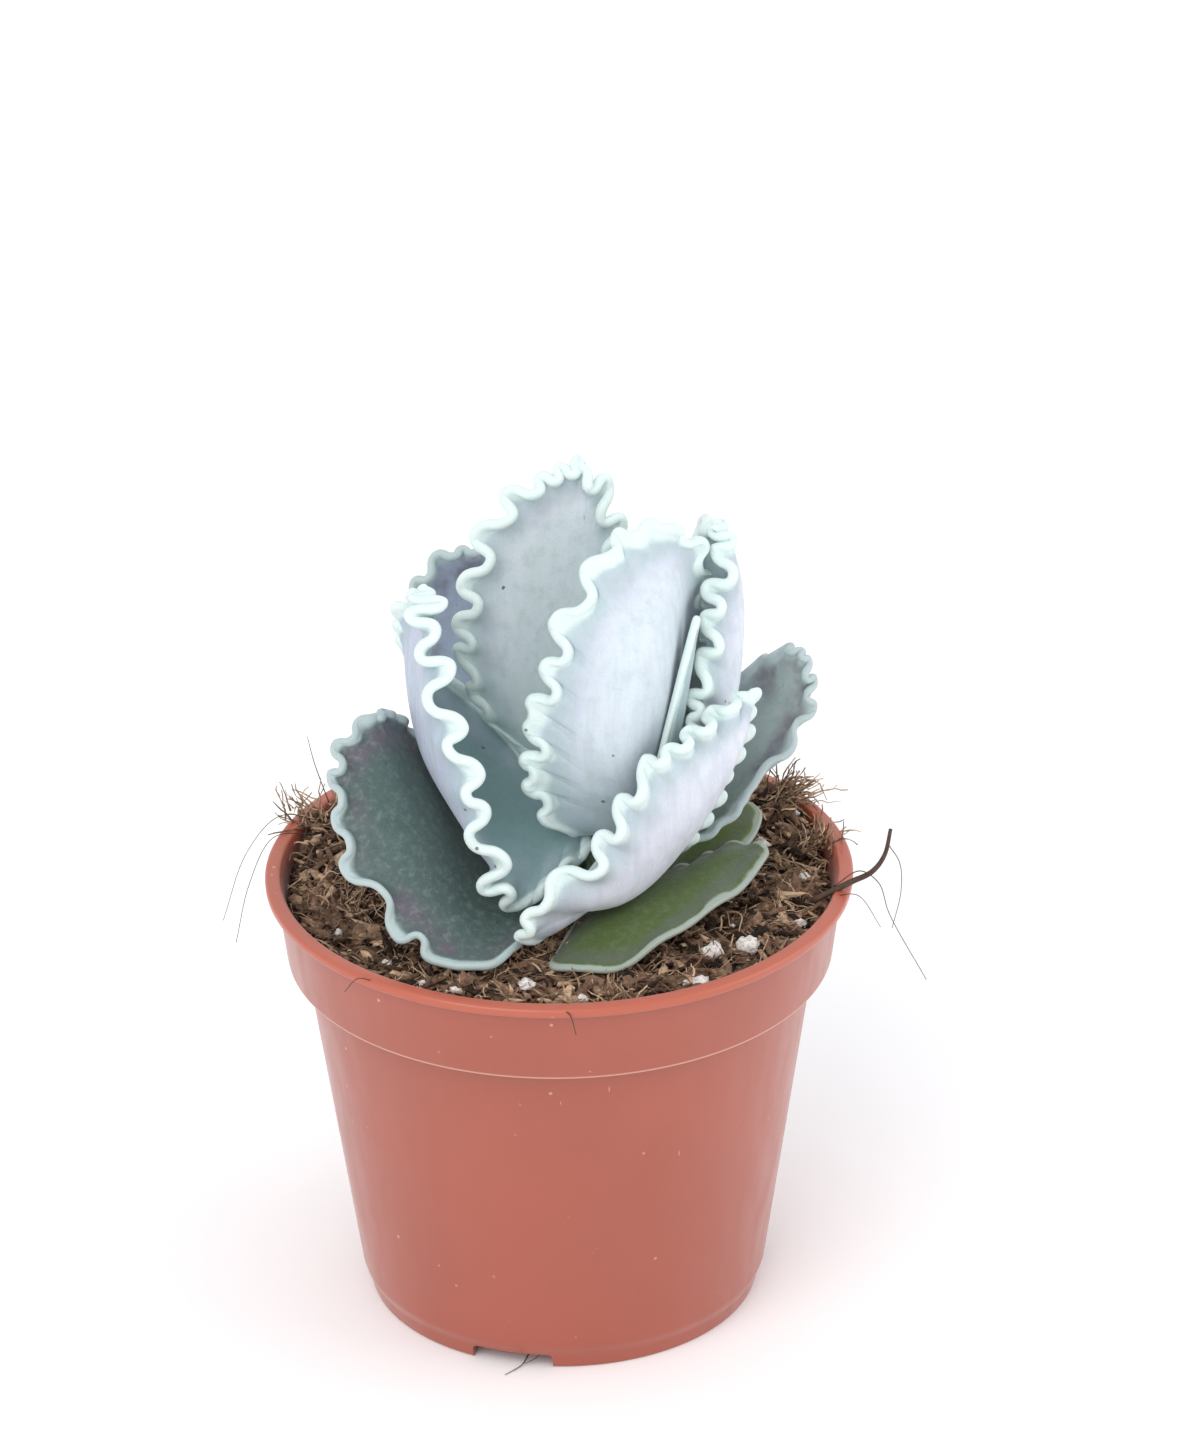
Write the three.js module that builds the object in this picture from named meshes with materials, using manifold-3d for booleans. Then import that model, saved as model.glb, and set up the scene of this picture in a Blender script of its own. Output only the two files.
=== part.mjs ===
// A silver-leaved cotyledon with frilled leaves in an 8.5 cm plastic nursery pot, standing upright.
// Units are millimetres. +Z is up, the origin is the centre of the pot's foot, and -Y is the front.
import * as THREE from "three";
import { mergeVertices } from "three/addons/utils/BufferGeometryUtils.js";
import Module from "manifold-3d";

const wasm = await Module();
wasm.setup();

// Driving dimensions of the pot
const POT_HEIGHT = 68;
const RIM_RADIUS = 43.2;
const COLLAR_TOP_RADIUS = 41.6;
const COLLAR_FOOT_RADIUS = 40.1;
const COLLAR_FOOT_Z = 54.9;
const WALL_TOP_RADIUS = 37.5;
const WALL_FOOT_RADIUS = 30.1;
const FOOT_BAND_Z = 4;
const FOOT_RADIUS = 28.8;
const WALL = 1;
const FLOOR_Z = 2.6;
const ROUND_SEGMENTS = 60;
const NOTCH_WIDTH = 12.2;
const NOTCH_HEIGHT = 2.4;
const NOTCH_ANGLES = [-106, 14, 134];
const DRAIN_RADIUS = 3.2;
const DRAIN_RING = 19;

// Driving dimensions of the soil
const FIT_GAP = 0.4;
const SOIL_RADIUS = 40;
const SOIL_EDGE_Z = 64.2;
const SOIL_DOME = 1;
const SOIL_GRAIN = 0.5;
const SOIL_RINGS = 11;
const SOIL_SEGMENTS = 56;

// Driving dimensions of the plant
const STEM_X = 4.6;
const STEM_Y = -5.2;
const STEM_FOOT_Z = 60;
const STEM_LEAN_X = 0.17;
const STEM_LEAN_Y = 0.1;
const MARGIN_THICKNESS = 1.25;
const FRILL_DEPTH = 5.8;
const FRILL_FADE = 2;

const degrees = THREE.MathUtils.degToRad;
const mix = THREE.MathUtils.lerp;

// Turns a closed geometry into a solid that can be joined and cut.
function solidOf(geometry) {
  const bare = new THREE.BufferGeometry();
  bare.setAttribute("position", geometry.getAttribute("position"));
  if (geometry.index) bare.setIndex(geometry.index);
  const merged = mergeVertices(bare, 1e-4);
  return new wasm.Manifold(
    new wasm.Mesh({
      numProp: 3,
      vertProperties: new Float32Array(merged.attributes.position.array),
      triVerts: new Uint32Array(merged.index.array),
    }),
  );
}

// Turns a solid back into a geometry.
function geometryOf(solid) {
  const mesh = solid.getMesh();
  const geometry = new THREE.BufferGeometry();
  geometry.setAttribute("position", new THREE.BufferAttribute(new Float32Array(mesh.vertProperties), 3));
  geometry.setIndex(new THREE.BufferAttribute(new Uint32Array(mesh.triVerts), 1));
  geometry.computeVertexNormals();
  return geometry;
}

// Turns a closed outline of [radius, height] points about the Z axis.
function turned(outline, segments) {
  const points = [...outline, outline[0]].map(([r, z]) => new THREE.Vector2(r, z));
  return new THREE.LatheGeometry(points, segments).rotateX(Math.PI / 2);
}

// The pot: one moulding with a beaded rim, a collar, a tapered wall, a raised floor and a notched foot ring.
function potGeometry() {
  const insideTop = COLLAR_TOP_RADIUS - WALL;
  const outline = [
    [FOOT_RADIUS - 1.4, 0],
    [FOOT_RADIUS - 0.3, 0],
    [FOOT_RADIUS + 0.4, 0.8],
    [WALL_FOOT_RADIUS - 0.3, FOOT_BAND_Z - 0.5],
    [WALL_FOOT_RADIUS, FOOT_BAND_Z],
    [WALL_TOP_RADIUS, COLLAR_FOOT_Z - 0.3],
    [COLLAR_FOOT_RADIUS - 0.3, COLLAR_FOOT_Z],
    [COLLAR_FOOT_RADIUS, COLLAR_FOOT_Z + 0.4],
    [COLLAR_TOP_RADIUS, POT_HEIGHT - 1.6],
    [RIM_RADIUS - 0.4, POT_HEIGHT - 1.5],
    [RIM_RADIUS, POT_HEIGHT - 1],
    [RIM_RADIUS - 0.1, POT_HEIGHT - 0.3],
    [RIM_RADIUS - 0.7, POT_HEIGHT],
    [insideTop + 0.5, POT_HEIGHT],
    [insideTop, POT_HEIGHT - 0.6],
    [COLLAR_FOOT_RADIUS - WALL, COLLAR_FOOT_Z + 1.2],
    [WALL_TOP_RADIUS - WALL, COLLAR_FOOT_Z - 0.4],
    [WALL_FOOT_RADIUS - WALL, FLOOR_Z + WALL],
    [0, FLOOR_Z + WALL],
    [0, FLOOR_Z],
    [FOOT_RADIUS - 1.6, FLOOR_Z],
  ];
  let pot = solidOf(turned(outline, ROUND_SEGMENTS));
  const corner = 0.9;
  const half = NOTCH_WIDTH / 2;
  const notch = new THREE.Shape();
  notch.moveTo(-half, -1);
  notch.lineTo(half, -1);
  notch.lineTo(half, NOTCH_HEIGHT - corner);
  notch.lineTo(half - corner, NOTCH_HEIGHT);
  notch.lineTo(-half + corner, NOTCH_HEIGHT);
  notch.lineTo(-half, NOTCH_HEIGHT - corner);
  for (const angle of NOTCH_ANGLES) {
    const cutter = new THREE.ExtrudeGeometry(notch, { depth: 10, bevelEnabled: false });
    cutter.rotateX(Math.PI / 2).rotateZ(Math.PI / 2);
    cutter.translate(FOOT_RADIUS - 5, 0, 0).rotateZ(degrees(angle));
    pot = pot.subtract(solidOf(cutter));
    for (const turn of [0, 60]) {
      const hole = new THREE.CylinderGeometry(DRAIN_RADIUS, DRAIN_RADIUS, 10, 12).rotateX(Math.PI / 2);
      hole.translate(DRAIN_RING, 0, FLOOR_Z).rotateZ(degrees(angle + turn));
      pot = pot.subtract(solidOf(hole));
    }
  }
  return geometryOf(pot);
}

// Height of the rough soil surface: a low dome, two heaps near the rim and grain.
function soilHeight(x, y) {
  const r = Math.hypot(x, y);
  const dome = SOIL_DOME * (1 - (r / SOIL_RADIUS) ** 2);
  const heap = (hx, hy, size, rise) => rise * Math.exp(-((x - hx) ** 2 + (y - hy) ** 2) / (2 * size * size));
  const heaps = heap(33, 19, 6, 5.5) + heap(-34, 17, 7, 4) + heap(-6, 34, 10, 1.5);
  const grain =
    Math.sin(0.71 * x + 1.3 * Math.sin(0.33 * y)) +
    Math.sin(0.83 * y + 1.1 * Math.sin(0.41 * x) + 2) +
    0.8 * Math.sin(1.7 * x + 1.1 * y) * Math.sin(1.3 * y - 0.9 * x);
  return SOIL_EDGE_Z + dome + heaps + (SOIL_GRAIN * grain) / 2;
}

// The soil fills the pot and rises in the middle, with a plain hole for the stem's root stub.
function soilGeometry() {
  const side = [
    [WALL_FOOT_RADIUS - WALL - FIT_GAP - 0.2, FLOOR_Z + WALL + FIT_GAP],
    [WALL_TOP_RADIUS - WALL - FIT_GAP - 0.1, COLLAR_FOOT_Z - 0.2],
    [COLLAR_FOOT_RADIUS - WALL - FIT_GAP - 0.1, COLLAR_FOOT_Z + 1.6],
  ];
  const rows = side.map(([r, z]) => ({ r, z: () => z }));
  for (let i = 0; i < SOIL_RINGS; i += 1) {
    const r = SOIL_RADIUS * (1 - i / SOIL_RINGS);
    rows.push({ r, z: (x, y) => soilHeight(x, y) });
  }
  const positions = [0, 0, side[0][1]];
  for (const row of rows) {
    for (let j = 0; j < SOIL_SEGMENTS; j += 1) {
      const turn = (2 * Math.PI * j) / SOIL_SEGMENTS;
      const x = row.r * Math.cos(turn);
      const y = row.r * Math.sin(turn);
      positions.push(x, y, row.z(x, y));
    }
  }
  positions.push(0, 0, soilHeight(0, 0));
  const at = (i, j) => 1 + i * SOIL_SEGMENTS + (j % SOIL_SEGMENTS);
  const top = positions.length / 3 - 1;
  const faces = [];
  for (let j = 0; j < SOIL_SEGMENTS; j += 1) {
    faces.push(0, at(0, j + 1), at(0, j));
    for (let i = 0; i + 1 < rows.length; i += 1) {
      faces.push(at(i, j), at(i, j + 1), at(i + 1, j + 1));
      faces.push(at(i, j), at(i + 1, j + 1), at(i + 1, j));
    }
    faces.push(at(rows.length - 1, j), at(rows.length - 1, j + 1), top);
  }
  const geometry = new THREE.BufferGeometry();
  geometry.setAttribute("position", new THREE.Float32BufferAttribute(positions, 3));
  geometry.setIndex(faces);
  const hole = new THREE.CylinderGeometry(5.6, 3.4, 24, 16).rotateX(Math.PI / 2);
  hole.applyMatrix4(new THREE.Matrix4().makeShear(0, 0, 0, 0, STEM_LEAN_X, STEM_LEAN_Y));
  hole.translate(STEM_X, STEM_Y, STEM_FOOT_Z);
  return geometryOf(solidOf(geometry).subtract(solidOf(hole)));
}

// The stem: a short leaning stub, rooted in the soil, with a small growing tip between the inner leaves.
function stemGeometry() {
  const outline = [
    [0, 49],
    [2, 49.4],
    [3.6, 62],
    [3.8, 67],
    [3.3, 72],
    [2.5, 76],
    [2.1, 79],
    [1.2, 80.6],
    [0, 81],
  ];
  const points = outline.map(([r, z]) => new THREE.Vector2(r, z));
  const lean = new THREE.Matrix4().makeShear(0, 0, 0, 0, STEM_LEAN_X, STEM_LEAN_Y);
  const stem = new THREE.LatheGeometry(points, 14).rotateX(Math.PI / 2).translate(0, 0, -STEM_FOOT_Z);
  return stem.applyMatrix4(lean).translate(STEM_X, STEM_Y, STEM_FOOT_Z);
}

// The leaves. Each is a fleshy blade hung between three curves in space: its midrib, and its left and right
// margins as seen when looking at the inner face with the tip up. The margins meet at the tip.
// frill is the height of the margin's waves, wave their length, gather how much they crowd at the base, and
// turns how far they lean outwards on each side. lips bend a margin towards the outer face.
// Folds list the share of the margin's length and the height of each crest and hollow, in place of even waves.
const LEAVES = [
  {
    name: "leaf_inner_front",
    rib: [[9, -7.2, 78], [11, -12, 92], [13.7, -10, 109]],
    left: [[10.8, -6, 78.3], [14, 1, 84], [17.5, 6, 93], [19, 7.5, 104.5], [19.4, 6, 114.5]],
    tip: [16.6, 3, 120.6],
    right: [[6, -7.4, 78], [0.6, -9, 80], [-2.6, -9, 85], [-2.4, -8.6, 94], [0, -7, 106], [5.6, -3, 116]],
    thick: 3, frill: 1.5, wave: 5.2, turns: [65, 75], seed: 1, gather: 1.4, lips: [2, 2.4],
    rightFolds: [
      [0.14, 1.2], [0.208, -1.5], [0.232, 1.4], [0.272, -0.1], [0.295, 1.6], [0.348, -2.1], [0.374, 1.2],
      [0.415, 0.4], [0.44, 1.1], [0.505, -3.1], [0.535, 0.1], [0.605, -3.2], [0.632, 1], [0.742, -3],
      [0.772, 1.1], [0.85, -0.5], [0.872, 2], [0.91, 0.2], [0.94, 1.3], [0.97, 0.2],
    ],
  },
  {
    name: "leaf_inner_back",
    rib: [[6.2, 0.3, 78.5], [4.5, 9, 84.5], [4.3, 15, 104]],
    left: [
      [3.6, -1, 79], [-5.4, 4.4, 85.5], [-11.2, 4, 92.8], [-13.4, 4.5, 103], [-12, 7, 112.6],
      [-7.6, 9.4, 121],
    ],
    tip: [4.3, 12, 127],
    right: [[9.2, 0.6, 79], [12, 8, 85], [13.6, 10, 100], [10.2, 12, 111], [8, 12, 120.5]],
    thick: 2.8, frill: 2.1, wave: 5.4, turns: [35, 35], seed: 2, gather: 1.3,
    leftFolds: [
      [0.275, 1], [0.325, -0.9], [0.362, 0.8], [0.405, -1.1], [0.458, 1.4], [0.49, -1.3],
      [0.52, 1.3], [0.58, -2], [0.608, 1.4], [0.688, -2.1], [0.718, 1.9], [0.802, -1.4],
      [0.825, 2.2], [0.885, -0.9], [0.905, 1], [0.935, -0.8], [0.95, 0.9], [0.975, -0.9],
      [0.99, 1.4],
    ],
  },
  {
    name: "leaf_second_left",
    rib: [[3.4, -5.1, 76.2], [-10.6, -5, 80], [-18.4, -4, 88.5], [-19.8, -4, 101]],
    left: [
      [4.4, -8, 75.8], [-5.8, -20, 73], [-11.2, -21.6, 81.5], [-13.4, -21, 92], [-17.2, -17, 102],
      [-18.2, -11.4, 110],
    ],
    tip: [-17.8, -5, 115.4],
    right: [[3.2, -2.6, 76.6], [-4, 6, 81], [-12.7, 12, 90], [-20.5, 9, 99.5], [-21.8, 3, 107.5]],
    thick: 2.8, frill: 2, wave: 6, turns: [-10, 30], seed: 3, gather: 1.1,
    leftFolds: [
      [0.245, 2.6], [0.29, -1.1], [0.32, 2.7], [0.36, -3.1], [0.448, 0.9], [0.495, -2.4],
      [0.542, 0.1], [0.577, -3], [0.652, 0.2], [0.684, -3.2], [0.762, 1.1], [0.825, -3.1],
      [0.858, 1.6], [0.91, -1], [0.945, 3.4], [0.972, -1.7], [0.99, 2.8],
    ],
    rightFolds: [
      [0.1, 0.5], [0.18, -0.7], [0.26, 1], [0.33, -1.2], [0.4, 1.4], [0.47, -1.4], [0.53, 1.2],
      [0.58, -0.9], [0.64, 2.8], [0.7, -0.6], [0.75, 1.3], [0.79, -0.8], [0.84, 2.2], [0.88, -0.8],
      [0.92, 1.7], [0.955, -1], [0.98, 1.3],
    ],
  },
  {
    name: "leaf_second_right",
    rib: [[11.2, -2.1, 76.2], [19, 0, 79.6], [25, 3, 93.5], [26, 7, 108]],
    left: [[10.8, 0.6, 76.6], [15, 10, 80], [20, 15, 91], [21, 15, 105.5], [20.6, 12.5, 115.4]],
    tip: [23.4, 9.6, 119],
    right: [
      [11.8, -4.4, 76], [16, -12, 82], [20, -8, 94.5], [21.6, -3.4, 103], [22.6, 0.4, 110],
      [25, 5, 115.5],
    ],
    thick: 2.8, frill: 1.9, wave: 4.9, turns: [30, -15], seed: 4, gather: 1.1,
    rightFolds: [
      [0.28, 1.2], [0.36, -1.3], [0.42, 1.1], [0.455, -1.2], [0.485, 0.2], [0.515, -2.1],
      [0.545, 0.8], [0.62, -1.5], [0.66, 2.1], [0.718, -1.3], [0.76, 1.7], [0.795, -2.4],
      [0.845, 1.6], [0.91, -2.1], [0.94, 1.2], [0.97, -1.5], [0.99, 1],
    ],
  },
  {
    name: "leaf_third_front",
    rib: [[8.5, -8.2, 73.6], [8.4, -18, 72.6], [15, -17, 79.4], [21.4, -15, 87.6], [26.4, -10.6, 95.2]],
    left: [[11, -7, 73.8], [18.6, -7.2, 77], [24.4, -4.6, 87], [27, -4, 94.5]],
    tip: [27.2, -6, 98.8],
    right: [
      [5.6, -8.8, 73.2], [-4, -24.4, 68], [-5.6, -25.4, 71.6], [-1, -24.4, 77], [5.6, -22, 82],
      [10, -20, 88.5], [14.6, -17, 94.5], [21, -12, 97.4],
    ],
    thick: 2.8, frill: 1.7, wave: 6.6, turns: [30, -30], seed: 5,
    rightFolds: [
      [0.297, -0.8], [0.32, 1.4], [0.35, -0.4], [0.383, 0.8], [0.455, -2.2], [0.51, 2.7],
      [0.56, -1.8], [0.592, 1.5], [0.64, -2.2], [0.675, 1.1], [0.735, -2.3], [0.76, 1],
      [0.785, -0.4], [0.81, 2.2], [0.845, -1.1], [0.87, 2.3], [0.915, -2.4], [0.945, 2],
      [0.985, -1.7],
    ],
  },
  {
    name: "leaf_third_back",
    rib: [[5.3, 0.6, 73.8], [-8, 17, 78.5], [-12.6, 27, 95]],
    left: [[2.6, -0.4, 74], [-15.5, 13, 80], [-20.6, 20, 91.5], [-20.6, 24, 100.5], [-18, 25.5, 105.6]],
    tip: [-13.6, 26, 107.6],
    right: [[8, 1.4, 74], [1, 20, 80], [-2.3, 27, 95], [-7.4, 28, 105]],
    thick: 2.6, frill: 0.9, wave: 5.4, turns: [30, 30], seed: 6, rows: [0, 0.5, 0.82, 1],
  },
  {
    name: "leaf_fourth_left",
    rib: [[1.9, -5.9, 71.2], [-9.5, -13, 69.2], [-20.5, -13.5, 81], [-25.5, -8, 90]],
    left: [
      [1.6, -8.8, 70.8], [-10.6, -28, 67], [-19, -27, 68.2], [-25.8, -23, 73], [-31, -19, 78.4],
      [-33, -13, 86.5], [-31.8, -8, 92.4],
    ],
    tip: [-26.4, -4, 95.4],
    right: [[1.8, -3.2, 71.6], [-7, 0.5, 74.5], [-16, 3, 81], [-22.8, 2.8, 91.2]],
    thick: 2.4, frill: 0.8, wave: 5.4, turns: [50, 30], seed: 7, rows: [0, 0.5, 0.82, 1],
    leftFolds: [
      [0.42, 0.4], [0.465, -1.9], [0.49, 0.9], [0.6, -3.6], [0.652, 0.5], [0.72, -3.4], [0.755, -0.6],
      [0.81, -3.6], [0.84, 0.3], [0.87, -2.6], [0.9, 1], [0.935, -1.2], [0.965, 0.9],
    ],
  },
  {
    name: "leaf_fourth_right",
    rib: [[10.9, -2.5, 71.2], [23.8, 6, 77], [31, 11, 86]],
    left: [[10.6, 0, 71.6], [21, 14, 79.5], [26.3, 17, 89.2], [31.4, 16, 94.3]],
    tip: [36, 12, 97],
    right: [[11.4, -5, 71], [22.6, -2.6, 75], [29.5, 1.8, 80.2], [34.8, 7, 85.7], [37.8, 10, 91.5]],
    thick: 2.4, frill: 1, wave: 5, turns: [30, 30], seed: 8, rows: [0, 0.5, 0.82, 1],
    rightFolds: [
      [0.46, -0.7], [0.565, -1.2], [0.642, 0.8], [0.743, -0.8], [0.785, 1], [0.86, -1.7],
      [0.89, 0.3], [0.93, -2], [0.96, 0.2], [0.985, -0.8],
    ],
  },
  {
    name: "leaf_lowest_front",
    rib: [[7.8, -9.1, 69.4], [13, -15, 70], [22.6, -8, 71.4]],
    left: [[10.4, -7.6, 69.6], [19, -4.4, 70.3], [25.6, -0.3, 71.6]],
    tip: [30.3, -2.6, 71.8],
    right: [
      [5.4, -10, 69], [1, -19, 66.2], [-1.4, -27, 66], [8.4, -28.4, 66.8], [18, -21.4, 69.6],
      [26.6, -11, 70.4],
    ],
    thick: 2.2, frill: 0.5, wave: 9, turns: [0, 0], seed: 9, rows: [0, 0.6, 1],
  },
  {
    name: "leaf_lowest_back",
    rib: [[4.4, 0.6, 69.4], [-1, 14, 70], [-6, 25, 71.5]],
    left: [[2, -0.4, 69.4], [-9, 8, 69.5], [-14, 20, 70.5]],
    tip: [-9, 31, 72],
    right: [[6.8, 1.4, 69.4], [7, 14, 69.5], [2.5, 25, 70.5]],
    thick: 2.2, frill: 0.4, wave: 9, turns: [0, 0], seed: 10, rows: [0, 0.6, 1],
  },
  {
    name: "leaf_lowest_right",
    rib: [[10.8, -1.6, 68], [18, 2.4, 69], [24, 5.6, 71]],
    left: [[10, 0.6, 68.2], [17, 10, 70.5], [24, 13, 72.4]],
    tip: [29.6, 8.4, 72.2],
    right: [[11.4, -3.8, 67.8], [18, -3, 68.6], [26.6, 0.6, 70.4]],
    thick: 2, frill: 0.2, wave: 9, turns: [0, 0], seed: 11, rows: [0, 0.6, 1],
  },
  {
    name: "leaf_axil",
    rib: [[13.2, -8.5, 81.4], [16, -8.8, 89], [18.4, -6.5, 100]],
    left: [[13.9, -7.8, 81.6], [16, -6.9, 87], [17.7, -5, 95], [19, -3.5, 103]],
    tip: [20.3, -3, 110],
    right: [[12.6, -9.2, 81.4], [14.4, -11.2, 90], [16.4, -9.4, 98], [18.4, -6.8, 105]],
    thick: 1.5, frill: 0, wave: 9, turns: [0, 0], seed: 12, rows: [0, 0.6, 1],
  },
];

const CURVE_STEPS = 24;
const RIB_REACH = 0.84;

// Points of a smooth curve through the given points, closely spaced.
function curveThrough(points) {
  const curve = new THREE.CatmullRomCurve3(points.map((p) => new THREE.Vector3(...p)), false, "centripetal");
  return curve.getPoints(CURVE_STEPS * (points.length - 1));
}

// A function that returns the point at a share, 0 to 1, of the length of a curve.
function byLength(points) {
  const runs = [0];
  for (let i = 1; i < points.length; i += 1) runs.push(runs[i - 1] + points[i].distanceTo(points[i - 1]));
  const total = runs[runs.length - 1];
  const at = (share) => {
    const run = Math.min(Math.max(share, 0), 1) * total;
    let i = 1;
    while (i < points.length - 1 && runs[i] < run) i += 1;
    return points[i - 1].clone().lerp(points[i], (run - runs[i - 1]) / (runs[i] - runs[i - 1]));
  };
  return { at, total };
}

// The unfrilled sheet of a leaf. spoke(shares) gives a point of the midrib and the rays to both margins.
function sheetOf(leaf) {
  const rib = byLength(curveThrough([...leaf.rib, leaf.tip]));
  const outline = curveThrough([...leaf.left, leaf.tip, ...[...leaf.right].reverse()]);
  const split = CURVE_STEPS * leaf.left.length;
  const edges = [byLength(outline.slice(0, split + 1)), byLength(outline.slice(split).reverse())];
  const spoke = (shares) => {
    const reach = RIB_REACH * ((shares[0] + shares[1]) / 2) ** 1.15;
    const root = rib.at(reach);
    const ahead = rib.at(Math.min(reach + 0.02, 1));
    const behind = rib.at(Math.max(reach - 0.02, 0));
    const along = ahead.sub(behind).normalize();
    const rays = edges.map((edge, side) => edge.at(shares[side]).sub(root));
    const bow = rays[0].clone().add(rays[1]).multiplyScalar(0.5);
    bow.addScaledVector(along, -bow.dot(along));
    return { root, rays, bow };
  };
  return { spoke, edges };
}

// The crests and hollows of a margin: those given, with small ones before them, or all of them by rule.
function foldSpots(given, count, leaf) {
  const sign = (k) => (k % 2 ? -1 : 1);
  const spots = [];
  if (given) {
    const missing = count - given.length;
    const [start, height] = given[0];
    for (let k = 0; k < missing; k += 1) {
      spots.push([(start * (k + 1)) / (missing + 1), 0.4 * Math.abs(height) * sign(k)]);
    }
    return [...spots, ...given];
  }
  for (let k = 0; k < count; k += 1) {
    const share = ((k + 0.5) / count) ** (leaf.gather || 1);
    const uneven = 1 + 0.2 * Math.sin(1.16 * k + leaf.seed) + 0.12 * Math.sin(2.5 * k + 2 * leaf.seed);
    spots.push([share, leaf.frill * THREE.MathUtils.smoothstep(share, 0.04, 0.2) * uneven * sign(k)]);
  }
  return spots;
}

// The frilled sheet as a grid of columns: from the left base round the tip to the right base.
// A column stands at each crest, at each hollow and half way between them.
function frilledGrid(leaf, rows) {
  const { spoke, edges } = sheetOf(leaf);
  const given = [leaf.leftFolds, leaf.rightFolds];
  const even = 2 * Math.max(2, Math.round((edges[0].total + edges[1].total) / 2 / leaf.wave));
  const count = Math.max(even, ...given.map((folds) => (folds ? folds.length : 0)));
  const knots = given.map((folds) => [[0, 0], ...foldSpots(folds, count, leaf), [1, 0]]);
  const half = 2 * (count + 1);
  const stateAt = (side, j) => {
    const k = Math.min(Math.floor(j / 2), count);
    const part = j / 2 - k;
    const [before, after] = [knots[side][k], knots[side][k + 1]];
    const run = (after[0] - before[0]) * edges[side].total;
    return { t: mix(before[0], after[0], part), height: mix(before[1], after[1], part), run };
  };
  const step = 0.01;
  const grid = [];
  for (let j = 0; j <= 2 * half; j += 1) {
    const side = j <= half ? 0 : 1;
    const states = [0, 1].map((s) => stateAt(s, j <= half ? j : 2 * half - j));
    const { root, rays, bow } = spoke(states.map((state) => state.t));
    const { t, height, run } = states[side];
    const forward = edges[side].at(t + step).sub(edges[side].at(t - step)).normalize();
    const lean = degrees(leaf.turns[side]);
    const width = rays[side].length();
    const lip = (leaf.lips ? leaf.lips[side] : 0) * THREE.MathUtils.smoothstep(t, 0.03, 0.14);
    const deep = Math.min(width, FRILL_DEPTH * (0.45 + 0.55 * Math.min(1.2, run / 2.6)));
    const points = rows.map((rho) => {
      const p = root.clone().addScaledVector(rays[side], rho).addScaledVector(bow, rho * rho - rho);
      const out = rays[side].clone().addScaledVector(bow, 2 * rho - 1).normalize();
      const normal = out.clone().cross(forward).normalize().multiplyScalar(side ? -1 : 1);
      const reach = Math.max(0, 1 - ((1 - rho) * width) / Math.max(deep, 1e-3)) ** FRILL_FADE;
      p.addScaledVector(normal, reach * (height * Math.cos(lean) + lip));
      return p.addScaledVector(out, reach * height * Math.sin(lean));
    });
    grid.push({ points, t: (states[0].t + states[1].t) / 2 });
  }
  return grid;
}

// Thickness of the flesh: full at the midrib, thin at the margin and towards the tip.
function fleshAt(leaf, t, rho) {
  return mix(leaf.thick * mix(1, 0.7, t), MARGIN_THICKNESS, rho ** 1.4);
}

// Gives the sheet its inner and outer face and closes it round the margin and the base.
function leafGeometry(leaf) {
  const rows = leaf.rows || [0, 0.42, 0.72, 0.88, 1];
  const grid = frilledGrid(leaf, rows);
  const last = grid.length - 1;
  const half = last / 2;
  const edge = rows.length - 1;
  const normalAt = (j, i) => {
    const along = grid[Math.min(j + 1, last)].points[i].clone().sub(grid[Math.max(j - 1, 0)].points[i]);
    const out = grid[j].points[Math.min(i + 1, edge)].clone().sub(grid[j].points[Math.max(i - 1, 0)]);
    return out.cross(along).normalize();
  };
  const positions = [];
  const faces = [];
  const index = [[], []];
  for (const face of [0, 1]) {
    for (let j = 0; j <= last; j += 1) {
      index[face][j] = [];
      for (let i = 0; i <= edge; i += 1) {
        if (i === 0 && j > half) {
          index[face][j][i] = index[face][last - j][0];
          continue;
        }
        const normal = normalAt(j, i);
        if (i === 0) normal.add(normalAt(last - j, 0)).normalize();
        const offset = ((face ? -1 : 1) * fleshAt(leaf, grid[j].t, rows[i])) / 2;
        const p = grid[j].points[i].clone().addScaledVector(normal, offset);
        index[face][j][i] = positions.length / 3;
        positions.push(p.x, p.y, p.z);
      }
    }
  }
  const triangle = (a, b, c) => {
    if (a !== b && b !== c && a !== c) faces.push(a, b, c);
  };
  const quad = (a, b, c, d) => {
    triangle(a, b, c);
    triangle(a, c, d);
  };
  const [inner, outer] = index;
  for (let j = 0; j < last; j += 1) {
    for (let i = 0; i < edge; i += 1) {
      quad(inner[j][i], inner[j][i + 1], inner[j + 1][i + 1], inner[j + 1][i]);
      triangle(outer[j][i], outer[j + 1][i + 1], outer[j][i + 1]);
      triangle(outer[j][i], outer[j + 1][i], outer[j + 1][i + 1]);
    }
    quad(inner[j][edge], outer[j][edge], outer[j + 1][edge], inner[j + 1][edge]);
  }
  for (let i = 0; i < edge; i += 1) {
    quad(inner[0][i], outer[0][i], outer[0][i + 1], inner[0][i + 1]);
    quad(inner[last][i], inner[last][i + 1], outer[last][i + 1], outer[last][i]);
  }
  const geometry = new THREE.BufferGeometry();
  geometry.setAttribute("position", new THREE.Float32BufferAttribute(positions, 3));
  geometry.setIndex(faces);
  return geometry;
}

const root = new THREE.Group();

function add(name, geometry, color, roughness) {
  const mesh = new THREE.Mesh(geometry, new THREE.MeshStandardMaterial({ color, roughness, metalness: 0 }));
  mesh.name = name;
  root.add(mesh);
  return mesh;
}

add("pot", potGeometry(), 0xb5644f, 0.45);
add("soil", soilGeometry(), 0x4a3528, 0.95);
add("stem", stemGeometry(), 0x8a9a7c, 0.8);
for (const leaf of LEAVES) add(leaf.name, leafGeometry(leaf), 0xb9cfc9, 0.7);

export default root;
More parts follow.
